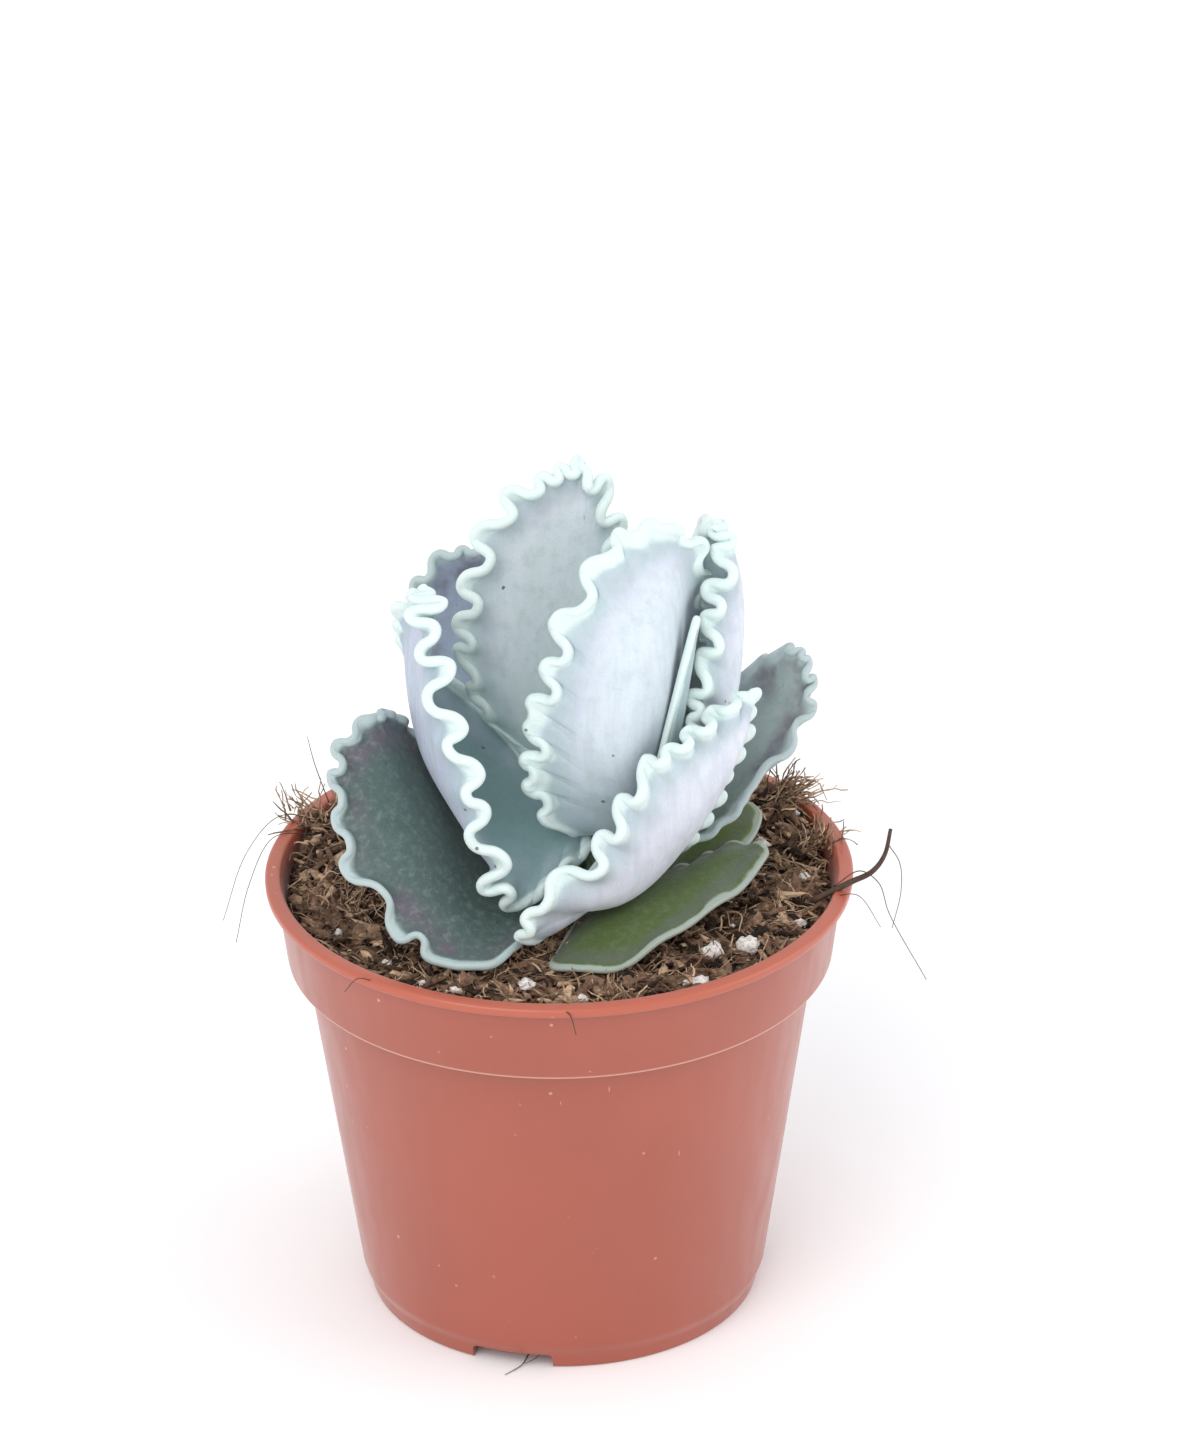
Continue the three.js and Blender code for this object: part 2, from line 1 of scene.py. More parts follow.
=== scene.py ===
"""Visual model of a potted silver-leaved cotyledon with frilled leaves, laid out as an add-on.

Lengths inside the building functions are millimetres, and are turned into metres when a mesh is made.
"""
import math
import random
from bisect import bisect_left
from dataclasses import dataclass

import bpy
from bpy.props import FloatProperty, FloatVectorProperty, IntProperty, PointerProperty
from mathutils import Euler, Matrix, Vector, noise


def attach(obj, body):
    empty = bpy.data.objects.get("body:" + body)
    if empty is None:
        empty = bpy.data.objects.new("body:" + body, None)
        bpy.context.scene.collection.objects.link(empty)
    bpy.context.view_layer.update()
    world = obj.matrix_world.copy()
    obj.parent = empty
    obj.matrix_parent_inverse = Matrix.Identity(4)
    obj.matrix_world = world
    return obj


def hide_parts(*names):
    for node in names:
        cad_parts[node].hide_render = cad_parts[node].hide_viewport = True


bl_info = {
    "name": "Potted frilled cotyledon",
    "version": (1, 0, 0),
    "blender": (4, 5, 0),
    "location": "View3D > Sidebar > Plant",
    "description": "Builds a frilled silver-leaved succulent in its plastic nursery pot",
    "category": "Add Mesh",
}

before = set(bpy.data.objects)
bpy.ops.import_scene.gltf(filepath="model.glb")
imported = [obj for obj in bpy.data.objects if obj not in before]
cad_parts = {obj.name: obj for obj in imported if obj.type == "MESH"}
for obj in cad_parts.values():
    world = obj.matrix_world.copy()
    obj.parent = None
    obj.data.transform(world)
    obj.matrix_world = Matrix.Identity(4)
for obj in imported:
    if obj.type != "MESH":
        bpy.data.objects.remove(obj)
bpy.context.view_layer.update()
MM = 0.001
BODY = "root"


def colour(red, green, blue):
    """The scene-linear colour of a display colour given from 0 to 255."""
    shares = (v / 255 for v in (red, green, blue))
    return tuple(((v + 0.055) / 1.055) ** 2.4 if v > 0.04 else v / 12.92 for v in shares)


def shade(rgb, factor):
    """A colour made darker or lighter by a factor."""
    return [factor * v for v in rgb]


def paint(name, description, rgb):
    """A colour property."""
    return FloatVectorProperty(
        name=name, description=description, subtype="COLOR", size=3, min=0, max=1, default=colour(*rgb)
    )


def length(name, description, value):
    """A length property whose default is given in millimetres."""
    return FloatProperty(name=name, description=description, unit="LENGTH", default=value * MM, precision=5)


class PlantPotSettings(bpy.types.PropertyGroup):
    """Sizes and colours of the nursery pot."""

    height: length("Height", "Height of the pot from foot to rim", 68.0)
    rim_radius: length("Rim radius", "Outer radius of the beaded rim", 43.2)
    collar_top_radius: length("Collar top radius", "Outer radius just under the bead", 41.6)
    collar_foot_radius: length("Collar foot radius", "Outer radius at the foot of the collar", 40.1)
    collar_foot_height: length("Collar foot height", "Height of the collar's lower edge", 54.9)
    wall_top_radius: length("Wall top radius", "Outer radius of the wall under the collar", 37.5)
    wall_foot_radius: length("Wall foot radius", "Outer radius at the foot of the tapered wall", 30.1)
    foot_radius: length("Foot radius", "Outer radius of the foot ring", 28.8)
    wall: length("Wall", "Thickness of the moulded wall", 1.0)
    plastic: paint("Plastic", "Colour of the moulded wall", (160, 76, 55))
    # The bead colour is a painted glow: the thin rim is painted brighter for light passing through it.
    bead: paint("Bead", "Colour of the thin rim, which light passes through", (176, 84, 58))
    # The dust colour also paints the highlight along the collar's lower edge.
    dust: paint("Dust", "Colour of the pale dust specks", (222, 176, 152))


class PlantSoilSettings(bpy.types.PropertyGroup):
    """Amounts and colours of the potting mix."""

    edge_height: length("Edge height", "Height of the soil where it meets the pot", 64.2)
    crumbs: IntProperty(name="Crumbs", description="Number of peat and coir crumbs", default=5200)
    fibres: IntProperty(name="Fibres", description="Number of loose coir fibres", default=2600)
    grains: IntProperty(name="Perlite grains", description="Number of perlite grains", default=46)
    dark: paint("Dark peat", "Colour of the moist peat", (36, 26, 19))
    middle: paint("Coir", "Colour of the coir", (126, 98, 78))
    pale: paint("Pale coir", "Colour of dry coir", (216, 184, 152))
    perlite: paint("Perlite", "Colour of the perlite", (232, 224, 218))
    root: paint("Root", "Colour of the dried roots", (84, 62, 48))


class PlantLeafSettings(bpy.types.PropertyGroup):
    """Sizes and colours that all leaves share."""

    bead_radius: length("Bead radius", "Radius of the thick rounded margin", 0.9)
    frill_depth: length("Frill depth", "How far the frill's waves reach into the blade", 4.4)
    samples: IntProperty(name="Samples", description="Columns for each wave of the frill", default=12)
    margin: paint("Margin", "Mint white of the thick margin", (216, 231, 228))
    painted_groove_shade: paint("Groove", "Shade of the blade next to the margin", (150, 176, 176))
    # Painted shade for the groove between the bead and the blade.
    lilac: paint("Lilac", "Tint of the worn bloom under the frill", (196, 190, 214))
    purple: paint("Purple", "Blotches on older leaves", (98, 84, 100))
    speck: paint("Specks", "Colour of the few corky specks", (70, 74, 62))


class PlantStageSettings(bpy.types.PropertyGroup):
    """The floor, light and camera."""

    floor: paint("Floor", "Colour of the floor", (252, 252, 252))
    lens: FloatProperty(name="Lens", description="Focal length of the camera in millimetres", default=206.3)
    tilt: FloatProperty(
        name="Tilt", description="How far the camera looks down", subtype="ANGLE", default=math.radians(26.99)
    )


def settings(name):
    """A group of settings of the open scene."""
    return getattr(bpy.context.scene, name)


def rest_selection():
    """Leaves edit mode and deselects everything."""
    if bpy.context.object and bpy.context.object.mode != "OBJECT":
        bpy.ops.object.mode_set(mode="OBJECT")
    bpy.ops.object.select_all(action="DESELECT")


def only(obj):
    """Makes obj the one selected and active object."""
    rest_selection()
    obj.select_set(True)
    bpy.context.view_layer.objects.active = obj


def named(name):
    """Renames the object that was just added and returns it."""
    obj = bpy.context.object
    obj.name = name
    obj.data.name = name
    return obj


def apply_place(obj):
    """Moves an object's place into its mesh."""
    only(obj)
    bpy.ops.object.transform_apply(location=True, rotation=True, scale=True)


def apply_modifiers(obj):
    """Applies every modifier in order."""
    only(obj)
    for modifier in list(obj.modifiers):
        bpy.ops.object.modifier_apply(modifier=modifier.name)


def edit(obj):
    """Opens an object's mesh in edit mode with everything selected."""
    only(obj)
    bpy.ops.object.mode_set(mode="EDIT")
    bpy.ops.mesh.select_all(action="SELECT")


def face_outwards(obj):
    """Merges doubles and turns all faces outwards."""
    edit(obj)
    bpy.ops.mesh.remove_doubles(threshold=1e-4 * MM)
    bpy.ops.mesh.normals_make_consistent(inside=False)
    bpy.ops.object.mode_set(mode="OBJECT")


def dress(obj, material, slot, *replaced):
    """Gives a finished piece its material, body and slot, and the CAD nodes that it stands for."""
    obj.data.materials.clear()
    obj.data.materials.append(material)
    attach(obj, BODY)
    if replaced:
        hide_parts(*replaced)
    return obj


class Paintbox:
    """Builds one material from named nodes, with a base colour that is laid on coat by coat."""

    def __init__(self, name, base):
        self.material = bpy.data.materials.new(name)
        self.material.use_nodes = True
        self.tree = self.material.node_tree
        self.shader = self.tree.nodes["Principled BSDF"]
        self.base = base

    def node(self, kind, **values):
        made = self.tree.nodes.new(kind)
        for key, value in values.items():
            setattr(made, key, value)
        return made

    def feed(self, socket, value):
        """Sets a socket to a number, a vector or a colour, or links it."""
        if isinstance(value, bpy.types.NodeSocket):
            self.tree.links.new(value, socket)
        elif socket.type == "RGBA":
            socket.default_value = (*value, 1)
        else:
            socket.default_value = value

    def place(self, scale=(1, 1, 1), turn=(0, 0, 0)):
        """Object coordinates in millimetres, stretched by scale."""
        texture = self.node("ShaderNodeTexCoord")
        mapping = self.node("ShaderNodeMapping")
        self.feed(mapping.inputs["Vector"], texture.outputs["Object"])
        self.feed(mapping.inputs["Rotation"], turn)
        self.feed(mapping.inputs["Scale"], [s / MM for s in scale])
        return mapping.outputs["Vector"]

    def attribute(self, name):
        """A number stored on the mesh."""
        return self.node("ShaderNodeAttribute", attribute_name=name).outputs["Fac"]

    def noise(self, vector, scale, detail=3, rough=0.5):
        made = self.node("ShaderNodeTexNoise")
        for name, value in (("Vector", vector), ("Scale", scale), ("Detail", detail), ("Roughness", rough)):
            self.feed(made.inputs[name], value)
        return made.outputs["Fac"]

    def cells(self, vector, scale):
        """Distance to the nearest of many scattered points."""
        made = self.node("ShaderNodeTexVoronoi")
        self.feed(made.inputs["Vector"], vector)
        self.feed(made.inputs["Scale"], scale)
        return made.outputs["Distance"]

    def ramp(self, value, low, high, to_low=0.0, to_high=1.0):
        """Maps a number from low..high to to_low..to_high, held at both ends."""
        made = self.node("ShaderNodeMapRange", interpolation_type="SMOOTHSTEP")
        limits = {"From Min": low, "From Max": high, "To Min": to_low, "To Max": to_high, "Value": value}
        for name, number in limits.items():
            self.feed(made.inputs[name], number)
        return made.outputs["Result"]

    def math(self, operation, a, b):
        made = self.node("ShaderNodeMath", operation=operation)
        self.feed(made.inputs[0], a)
        self.feed(made.inputs[1], b)
        return made.outputs[0]

    def times(self, a, b):
        return self.math("MULTIPLY", a, b)

    def plus(self, a, b):
        return self.math("ADD", a, b)

    def coat(self, share, rgb):
        """Lays a colour over the base, by a share from 0 to 1."""
        made = self.node("ShaderNodeMix", data_type="RGBA")
        share_input, base_input, coat_input = (made.inputs[i] for i in (0, 6, 7))
        self.feed(share_input, share)
        self.feed(base_input, self.base)
        self.feed(coat_input, rgb)
        self.base = made.outputs[2]

    def height(self, vector):
        """The height of a place."""
        made = self.node("ShaderNodeSeparateXYZ")
        self.feed(made.inputs[0], vector)
        return made.outputs["Z"]

    def bump(self, height, depth):
        """Raises the surface by height times depth millimetres."""
        made = self.node("ShaderNodeBump")
        self.feed(made.inputs["Strength"], 1)
        self.feed(made.inputs["Distance"], depth * MM)
        self.feed(made.inputs["Height"], height)
        self.feed(self.shader.inputs["Normal"], made.outputs["Normal"])

    def finish(self, roughness, **constants):
        self.feed(self.shader.inputs["Base Color"], self.base)
        self.feed(self.shader.inputs["Roughness"], roughness)
        for name, value in constants.items():
            self.shader.inputs[name.replace("_", " ")].default_value = value
        return self.material


# The pot

POT_SEGMENTS = 180
CORNER_STEPS = 4
DRAIN_NOTCH_ANGLES = (-106, 14, 134)
DRAIN_NOTCH_WIDTH = 12.2
DRAIN_NOTCH_HEIGHT = 2.4
DRAIN_NOTCH_ROUNDING = 0.9
DRAIN_HOLE_RADIUS = 3.2
DRAIN_HOLE_RING = 19
FLOOR_HEIGHT = 2.6


def turned_shell(name, profile, segments):
    """Extrudes a circle ring by ring through a profile of (radius, height) points and closes both middles."""
    rest_selection()
    radius, height = profile[0]
    bpy.ops.mesh.primitive_circle_add(vertices=segments, radius=radius * MM, location=(0, 0, height * MM))
    shell = named(name)
    apply_place(shell)
    edit(shell)
    for next_radius, next_height in profile[1:]:
        rise = (0, 0, (next_height - height) * MM)
        bpy.ops.mesh.extrude_region_move(TRANSFORM_OT_translate={"value": rise})
        share = next_radius / radius
        bpy.ops.transform.resize(value=(share, share, 1), center_override=(0, 0, next_height * MM))
        radius, height = next_radius, next_height
    bpy.ops.mesh.select_all(action="SELECT")
    bpy.ops.mesh.fill_holes(sides=0)
    bpy.ops.mesh.normals_make_consistent(inside=False)
    bpy.ops.object.mode_set(mode="OBJECT")
    return shell


def round_corner(before, corner, after, radius):
    """Points of a rounded corner of a profile."""
    corner, before, after = Vector(corner), Vector(before), Vector(after)
    start = corner + (before - corner).normalized() * radius
    end = corner + (after - corner).normalized() * radius
    shares = (i / CORNER_STEPS for i in range(CORNER_STEPS + 1))
    return [start * (1 - t) ** 2 + corner * 2 * t * (1 - t) + end * t * t for t in shares]


def rounded_profile(points, radii):
    """A profile with its inner corners rounded by the radii given for them."""
    made = [Vector(points[0])]
    for before, corner, after, radius in zip(points, points[1:], points[2:], radii):
        if radius:
            made += round_corner(before, corner, after, radius)
        else:
            made.append(Vector(corner))
    return made + [Vector(points[-1])]


def cut_away(target, cutter):
    """Cuts cutter out of target and removes it."""
    modifier = target.modifiers.new("cut", "BOOLEAN")
    modifier.operation = "DIFFERENCE"
    modifier.solver = "EXACT"
    modifier.object = cutter
    apply_modifiers(target)
    bpy.data.objects.remove(cutter)


def drain_notch_cutter(angle):
    """A block with rounded upper corners that cuts one drain notch out of the foot ring."""
    rest_selection()
    bpy.ops.mesh.primitive_cube_add(size=1, location=(27.5 * MM, 0, 0))
    cutter = named("notch_cutter")
    cutter.scale = (10 * MM, DRAIN_NOTCH_WIDTH * MM, 2 * DRAIN_NOTCH_HEIGHT * MM)
    apply_place(cutter)
    bevel = cutter.modifiers.new("round", "BEVEL")
    bevel.width = DRAIN_NOTCH_ROUNDING * MM
    bevel.segments = 4
    apply_modifiers(cutter)
    cutter.rotation_euler = (0, 0, math.radians(angle))
    apply_place(cutter)
    return cutter


def drain_hole_cutter(angle):
    """A round punch that cuts one drain hole through the floor."""
    turn = math.radians(angle)
    centre = DRAIN_HOLE_RING * math.cos(turn), DRAIN_HOLE_RING * math.sin(turn), FLOOR_HEIGHT
    rest_selection()
    bpy.ops.mesh.primitive_cylinder_add(
        vertices=32, radius=DRAIN_HOLE_RADIUS * MM, depth=6 * MM, location=[v * MM for v in centre]
    )
    return named("hole_cutter")


def plastic_material(pot):
    """Satin terracotta-coloured plastic with dust, fine scratches and a brighter, thin rim."""
    box = Paintbox("terracotta_plastic", pot.plastic)
    place = box.place()
    cloud = box.noise(place, 0.035, detail=2)
    box.coat(box.ramp(cloud, 0.35, 0.7), shade(pot.plastic, 0.93))
    grain = box.noise(place, 2.6, detail=2)
    box.coat(box.ramp(grain, 0.3, 0.75, 0, 0.1), shade(pot.plastic, 1.15))
    height = box.height(place)
    high, edge = pot.height / MM, pot.collar_foot_height / MM
    # Painted glow: the top of the rim takes the brighter bead colour, standing in for light passing through
    # the thin plastic.
    box.coat(box.ramp(height, high - 1.8, high - 1.1), pot.bead)
    # Painted highlight: a thin pale line along the collar's lower edge, where the sharp edge catches the
    # light; it is laid in the dust colour.
    painted_edge_highlight = box.times(
        box.ramp(height, edge - 0.2, edge + 0.05), box.ramp(height, edge + 0.3, edge + 0.55, 0.55, 0)
    )
    box.coat(painted_edge_highlight, pot.dust)
    dust = box.ramp(box.cells(place, 0.27), 0.05, 0.085, 1, 0)
    patches = box.ramp(box.noise(place, 0.09, detail=1), 0.5, 0.62)
    box.coat(box.times(dust, box.times(patches, 0.6)), pot.dust)
    hair = box.cells(box.place((1, 1, 0.18), (0.4, 0.2, 0.9)), 0.22)
    box.coat(box.times(box.ramp(hair, 0.018, 0.034, 0.5, 0), box.ramp(cloud, 0.45, 0.6)), pot.dust)
    smear = box.noise(box.place((1, 1, 0.3)), 0.3, detail=4)
    box.bump(box.noise(place, 4, detail=2), 0.012)
    roughness = box.ramp(smear, 0.3, 0.7, 0.3, 0.4)
    return box.finish(roughness, Specular_IOR_Level=0.75, Sheen_Weight=0.18, Sheen_Roughness=0.35)


def build_pot():
    """The pot: one moulding with a beaded rim, a collar, a tapered wall and a notched foot ring."""
    pot = settings("plant_pot")
    high, rim, collar_top, collar_foot, collar_z, wall_top, wall_foot, foot, wall = (
        getattr(pot, name) / MM
        for name in (
            "height", "rim_radius", "collar_top_radius", "collar_foot_radius", "collar_foot_height",
            "wall_top_radius", "wall_foot_radius", "foot_radius", "wall",
        )
    )
    points = [
        (1, FLOOR_HEIGHT), (foot - 1.6, FLOOR_HEIGHT), (foot - 1.4, 0), (foot, 0), (foot + 0.6, 2.6),
        (wall_foot, 4), (wall_top, collar_z - 0.5), (wall_top + 0.9, collar_z), (collar_foot, collar_z),
        (collar_top, high - 1.7), (rim - 0.1, high - 1.5), (rim, high - 0.1), (collar_top - 0.6, high),
        (collar_top - wall, high - 1), (collar_foot - wall, collar_z + 1.2),
        (wall_top - wall, collar_z - 0.4), (wall_foot - wall, FLOOR_HEIGHT + wall), (1, FLOOR_HEIGHT + wall),
    ]
    radii = [0.4, 0.3, 0.45, 0.5, 0.6, 0.4, 0, 0.45, 0.25, 0.4, 0.6, 0.4, 0.3, 0.6, 0.6, 0.8]
    shell = turned_shell("pot_shell", rounded_profile(points, radii), POT_SEGMENTS)
    for angle in DRAIN_NOTCH_ANGLES:
        cut_away(shell, drain_notch_cutter(angle))
        for turn in (0, 60):
            cut_away(shell, drain_hole_cutter(angle + turn))
    only(shell)
    bpy.ops.object.shade_smooth_by_angle(angle=math.radians(40))
    dress(shell, plastic_material(pot), "pot", "pot")


# The soil

SOIL_RADIUS = 40.0
SOIL_SEGMENTS = 220
SOIL_RINGS = 60
# Points of the bed above this height belong to its rough top
SOIL_TOP_FROM = 60
# Heaps near the rim: x, y, size and height
HEAPS = [(33, 19, 6, 5.5), (-34, 17, 7, 4), (-6, 34, 10, 1.5)]
# About how far a crumb of size 1 reaches from its centre, and how far it may reach past the soil's edge
CRUMB_REACH = 1.3
CRUMB_SLACK = 0.4
FIBRE_STEPS = 6


def soil_height(x, y):
    """Height of the rough soil surface: a low dome, heaps near the rim and grain."""
    edge = settings("plant_soil").edge_height / MM
    dome = 1 - (x * x + y * y) / SOIL_RADIUS**2
    heaps = sum(
        rise * math.exp(-((x - centre_x) ** 2 + (y - centre_y) ** 2) / (2 * size * size))
        for centre_x, centre_y, size, rise in HEAPS
    )
    grain = (
        math.sin(0.71 * x + 1.3 * math.sin(0.33 * y))
        + math.sin(0.83 * y + 1.1 * math.sin(0.41 * x) + 2)
        + 0.8 * math.sin(1.7 * x + 1.1 * y) * math.sin(1.3 * y - 0.9 * x)
    )
    return edge + dome + heaps + 0.25 * grain


def stored_tone(box):
    """The tone that each bit of a scatter carries."""
    return box.attribute("tone")


def damp_tone(box):
    """Dark tones in soft patches."""
    return box.ramp(box.noise(box.place(), 0.9), 0.3, 0.7, 0, 0.3)


def soil_material(name, tone=stored_tone):
    """Coir and peat whose brown follows a tone."""
    soil = settings("plant_soil")
    box = Paintbox(name, soil.dark)
    place = box.place()
    wear = box.noise(place, 1.1, detail=4, rough=0.65)
    level = box.plus(tone(box), box.ramp(wear, 0.25, 0.75, -0.18, 0.18))
    box.coat(box.ramp(level, 0.0, 0.55), soil.middle)
    box.coat(box.ramp(level, 0.5, 1.0), soil.pale)
    box.bump(box.noise(place, 3.2, detail=5, rough=0.7), 0.16)
    return box.finish(0.92, Specular_IOR_Level=0.25)


def build_soil_bed():
    """The body of the soil, from the pot's floor to its rough top."""
    edge = settings("plant_soil").edge_height / MM
    profile = [(1, 4), (28.5, 4), (36, 54.7), (38.6, 56.5)]
    profile += [(SOIL_RADIUS * (1 - i / SOIL_RINGS), edge) for i in range(SOIL_RINGS)]
    bed = turned_shell("soil_bed", profile, SOIL_SEGMENTS)
    for vertex in bed.data.vertices:
        x, y, z = (v / MM for v in vertex.co)
        if z >= SOIL_TOP_FROM:
            rough = noise.fractal(Vector((x, y, 3)) * 0.45, 1.0, 2.1, 4)
            vertex.co.z = (soil_height(x, y) - 0.35 + 0.8 * rough) * MM
    only(bed)
    bpy.ops.object.shade_smooth()
    dress(bed, soil_material("damp_peat", damp_tone), "soil", "soil")


class Scatter:
    """Gathers many small bits into one mesh, each with its own tone."""

    def __init__(self):
        self.points, self.faces, self.tones = [], [], []

    def add(self, points, faces, tone):
        start = len(self.points)
        self.points += points
        self.faces += [tuple(start + i for i in face) for face in faces]
        self.tones += [tone] * len(points)

    def piece(self, name, smooth=False):
        mesh = bpy.data.meshes.new(name)
        mesh.from_pydata([p * MM for p in self.points], [], self.faces)
        mesh.attributes.new("tone", "FLOAT", "POINT").data.foreach_set("value", self.tones)
        obj = bpy.data.objects.new(name, mesh)
        bpy.context.scene.collection.objects.link(obj)
        only(obj)
        if smooth:
            bpy.ops.object.shade_smooth()
        return obj


def lump_template(seed, subdivisions, roughness):
    """One lump, modelled from an ico sphere whose points are pushed in and out."""
    rest_selection()
    bpy.ops.mesh.primitive_ico_sphere_add(subdivisions=subdivisions, radius=1)
    lump = named("lump_template")
    draw = random.Random(seed)
    points = []
    for vertex in lump.data.vertices:
        swell = 1 + roughness * noise.noise(vertex.co * 1.3 + Vector((seed, 2 * seed, 5)))
        points.append(vertex.co * swell * draw.uniform(1 - 0.3 * roughness, 1 + 0.3 * roughness))
    faces = [tuple(p.vertices) for p in lump.data.polygons]
    bpy.data.objects.remove(lump)
    return points, faces


def tube(path, radii, sides):
    """Points and faces of a tapered tube along a path, closed at both ends."""
    points, faces = [], []
    side = Vector((0.31, 0.52, 0.8))
    for i, centre in enumerate(path):
        along = (path[min(i + 1, len(path) - 1)] - path[max(i - 1, 0)]).normalized()
        side = (side - along * side.dot(along)).normalized()
        other = along.cross(side)
        for k in range(sides):
            turn = 2 * math.pi * k / sides
            points.append(centre + (side * math.cos(turn) + other * math.sin(turn)) * radii[i])
    for i in range(len(path) - 1):
        for k in range(sides):
            a, b = i * sides + k, i * sides + (k + 1) % sides
            faces.append((a, b, b + sides, a + sides))
    faces.append(tuple(range(sides))[::-1])
    faces.append(tuple(range((len(path) - 1) * sides, len(path) * sides)))
    return points, faces


def shrinking(steps, loss):
    """Shares from 1 down to 1 - loss, one for each point of a path."""
    return [1 - loss * i / steps for i in range(steps + 1)]


def spot_on_soil(draw, reach=39.6):
    """A random place on the soil."""
    radius, turn = reach * math.sqrt(draw.random()), draw.uniform(0, 2 * math.pi)
    return radius * math.cos(turn), radius * math.sin(turn)


def random_turn(draw, tilt):
    """A random turn about the vertical, tipped by up to tilt radians."""
    turns = draw.uniform(-tilt, tilt), draw.uniform(-tilt, tilt), draw.uniform(0, 2 * math.pi)
    return Euler(turns).to_matrix()


def build_crumbs():
    """Peat crumbs and coir chips that cover the soil."""
    draw = random.Random(11)
    lumps = [lump_template(seed, 1, 0.5) for seed in range(1, 7)]
    scatter = Scatter()
    for _ in range(settings("plant_soil").crumbs):
        x, y = spot_on_soil(draw)
        points, faces = draw.choice(lumps)
        size = draw.choice((0.35, 0.5, 0.5, 0.6, 0.7, 0.7, 0.95, 1.3))
        long = draw.choice((1, 1.3, 2.2, 3.2))
        extent = size * long, size * draw.uniform(0.5, 0.9), size * draw.uniform(0.35, 0.7)
        turn = random_turn(draw, 0.55) @ Matrix.Diagonal(extent)
        inside = min(1, (SOIL_RADIUS + CRUMB_SLACK - CRUMB_REACH * extent[0]) / max(math.hypot(x, y), 1))
        x, y = x * inside, y * inside
        centre = Vector((x, y, soil_height(x, y) + draw.uniform(-0.5, 0.75)))
        tone = draw.triangular(-0.1, 0.95, 0.3)
        scatter.add([centre + turn @ p for p in points], faces, tone)
    dress(scatter.piece("coir_crumbs"), soil_material("coir_and_peat"), "soil")


def fibre_path(draw, start, heading, run, bend):
    """A wandering path that starts with a heading."""
    path = [start]
    heading = heading.normalized()
    for _ in range(FIBRE_STEPS):
        heading = (heading + bend * Vector([draw.uniform(-1, 1) for _ in range(3)])).normalized()
        path.append(path[-1] + heading * run / FIBRE_STEPS)
    return path


def lay_on_soil(path):
    """Holds a fibre's points close to the soil and inside the pot."""
    for point in path:
        floor = soil_height(point.x, point.y)
        point.z = min(max(point.z, floor - 0.1), floor + 2.4)
        reach = math.hypot(point.x, point.y)
        if reach > SOIL_RADIUS:
            point.x, point.y = point.x * SOIL_RADIUS / reach, point.y * SOIL_RADIUS / reach


def build_fibres():
    """Loose coir fibres that lie on the soil, and the tufts that stand up from it."""
    draw = random.Random(23)
    scatter = Scatter()
    for _ in range(settings("plant_soil").fibres):
        x, y = spot_on_soil(draw, 39)
        heading = Vector((draw.uniform(-1, 1), draw.uniform(-1, 1), draw.uniform(-0.25, 0.4)))
        start = Vector((x, y, soil_height(x, y) + draw.uniform(0, 0.8)))
        path = fibre_path(draw, start, heading, draw.triangular(2, 9, 3.5), 0.38)
        lay_on_soil(path)
        thick = draw.choice((0.07, 0.1, 0.1, 0.15, 0.22))
        radii = [thick * share for share in shrinking(FIBRE_STEPS, 0.6)]
        scatter.add(*tube(path, radii, 3), draw.triangular(0.15, 1.1, 0.65))
    for centre, lean, count, run in TUFTS:
        for _ in range(count):
            start = Vector(centre) + Vector([draw.gauss(0, s) for s in (1.8, 1.8, 0.9)])
            start.z = max(start.z, soil_height(start.x, start.y) - 0.3)
            heading = Vector(lean) + Vector([draw.gauss(0, 0.4) for _ in range(3)])
            path = fibre_path(draw, start, heading, run * draw.uniform(0.5, 1.1), 0.42)
            radii = [draw.uniform(0.1, 0.24) * share for share in shrinking(FIBRE_STEPS, 0.5)]
            scatter.add(*tube(path, radii, 3), draw.triangular(0.3, 1.1, 0.8))
    dress(scatter.piece("coir_fibres", smooth=True), soil_material("dry_fibre"), "soil")


# Tufts of coir: centre, lean, number of fibres and their length
TUFTS = [
    ((33, 19, 69), (0.8, 0.1, 0.45), 90, 6),
    ((38, 8, 66.5), (0.6, 0.3, 0.7), 60, 5),
    ((9, -35.5, 65), (-0.1, -0.3, 0.8), 50, 4.5),
    ((-36, 16, 68), (-0.3, 0.3, 0.5), 50, 6),
    ((-30, -6, 65.5), (0.4, 0.3, 0.3), 40, 5),
]

# Perlite grains that stand out in the picture: x, y and size
PERLITE = [
    (22, -22.5, 1.5), (27, -20, 1.5), (20, -31, 1.3), (30, 9, 1.2), (36, 1, 1.0), (35, -13, 0.9),
    (-15, -32, 1.0), (-20, -29, 0.7), (-25, -23, 0.8), (-5, -31, 1.2), (3, -34.5, 0.9), (-37, 4, 0.7),
]


def build_perlite():
    """White perlite grains among the crumbs."""
    soil = settings("plant_soil")
    draw = random.Random(37)
    grains = [lump_template(seed, 3, 0.4) for seed in range(11, 15)]
    scatter = Scatter()
    spots = list(PERLITE)
    while len(spots) < soil.grains:
        spots.append((*spot_on_soil(draw, 38.5), draw.triangular(0.3, 1.0, 0.5)))
    for x, y, size in spots:
        points, faces = draw.choice(grains)
        extent = size * draw.uniform(0.85, 1.2), size, size * draw.uniform(0.7, 0.95)
        turn = random_turn(draw, 0.5) @ Matrix.Diagonal(extent)
        centre = Vector((x, y, soil_height(x, y) + 0.45 * size + 0.15))
        scatter.add([centre + turn @ p for p in points], faces, draw.random())
    # Painted shade: the grains are a darkened perlite colour in the low spots of their pitted bump and the
    # full perlite colour on the raised parts.
    box = Paintbox("perlite", shade(soil.perlite, 0.55))
    pits = box.noise(box.place(), 1.8, detail=4, rough=0.6)
    box.coat(box.ramp(pits, 0.3, 0.6), soil.perlite)
    box.bump(pits, 0.25)
    dress(scatter.piece("perlite_grains", smooth=True), box.finish(0.85), "soil")


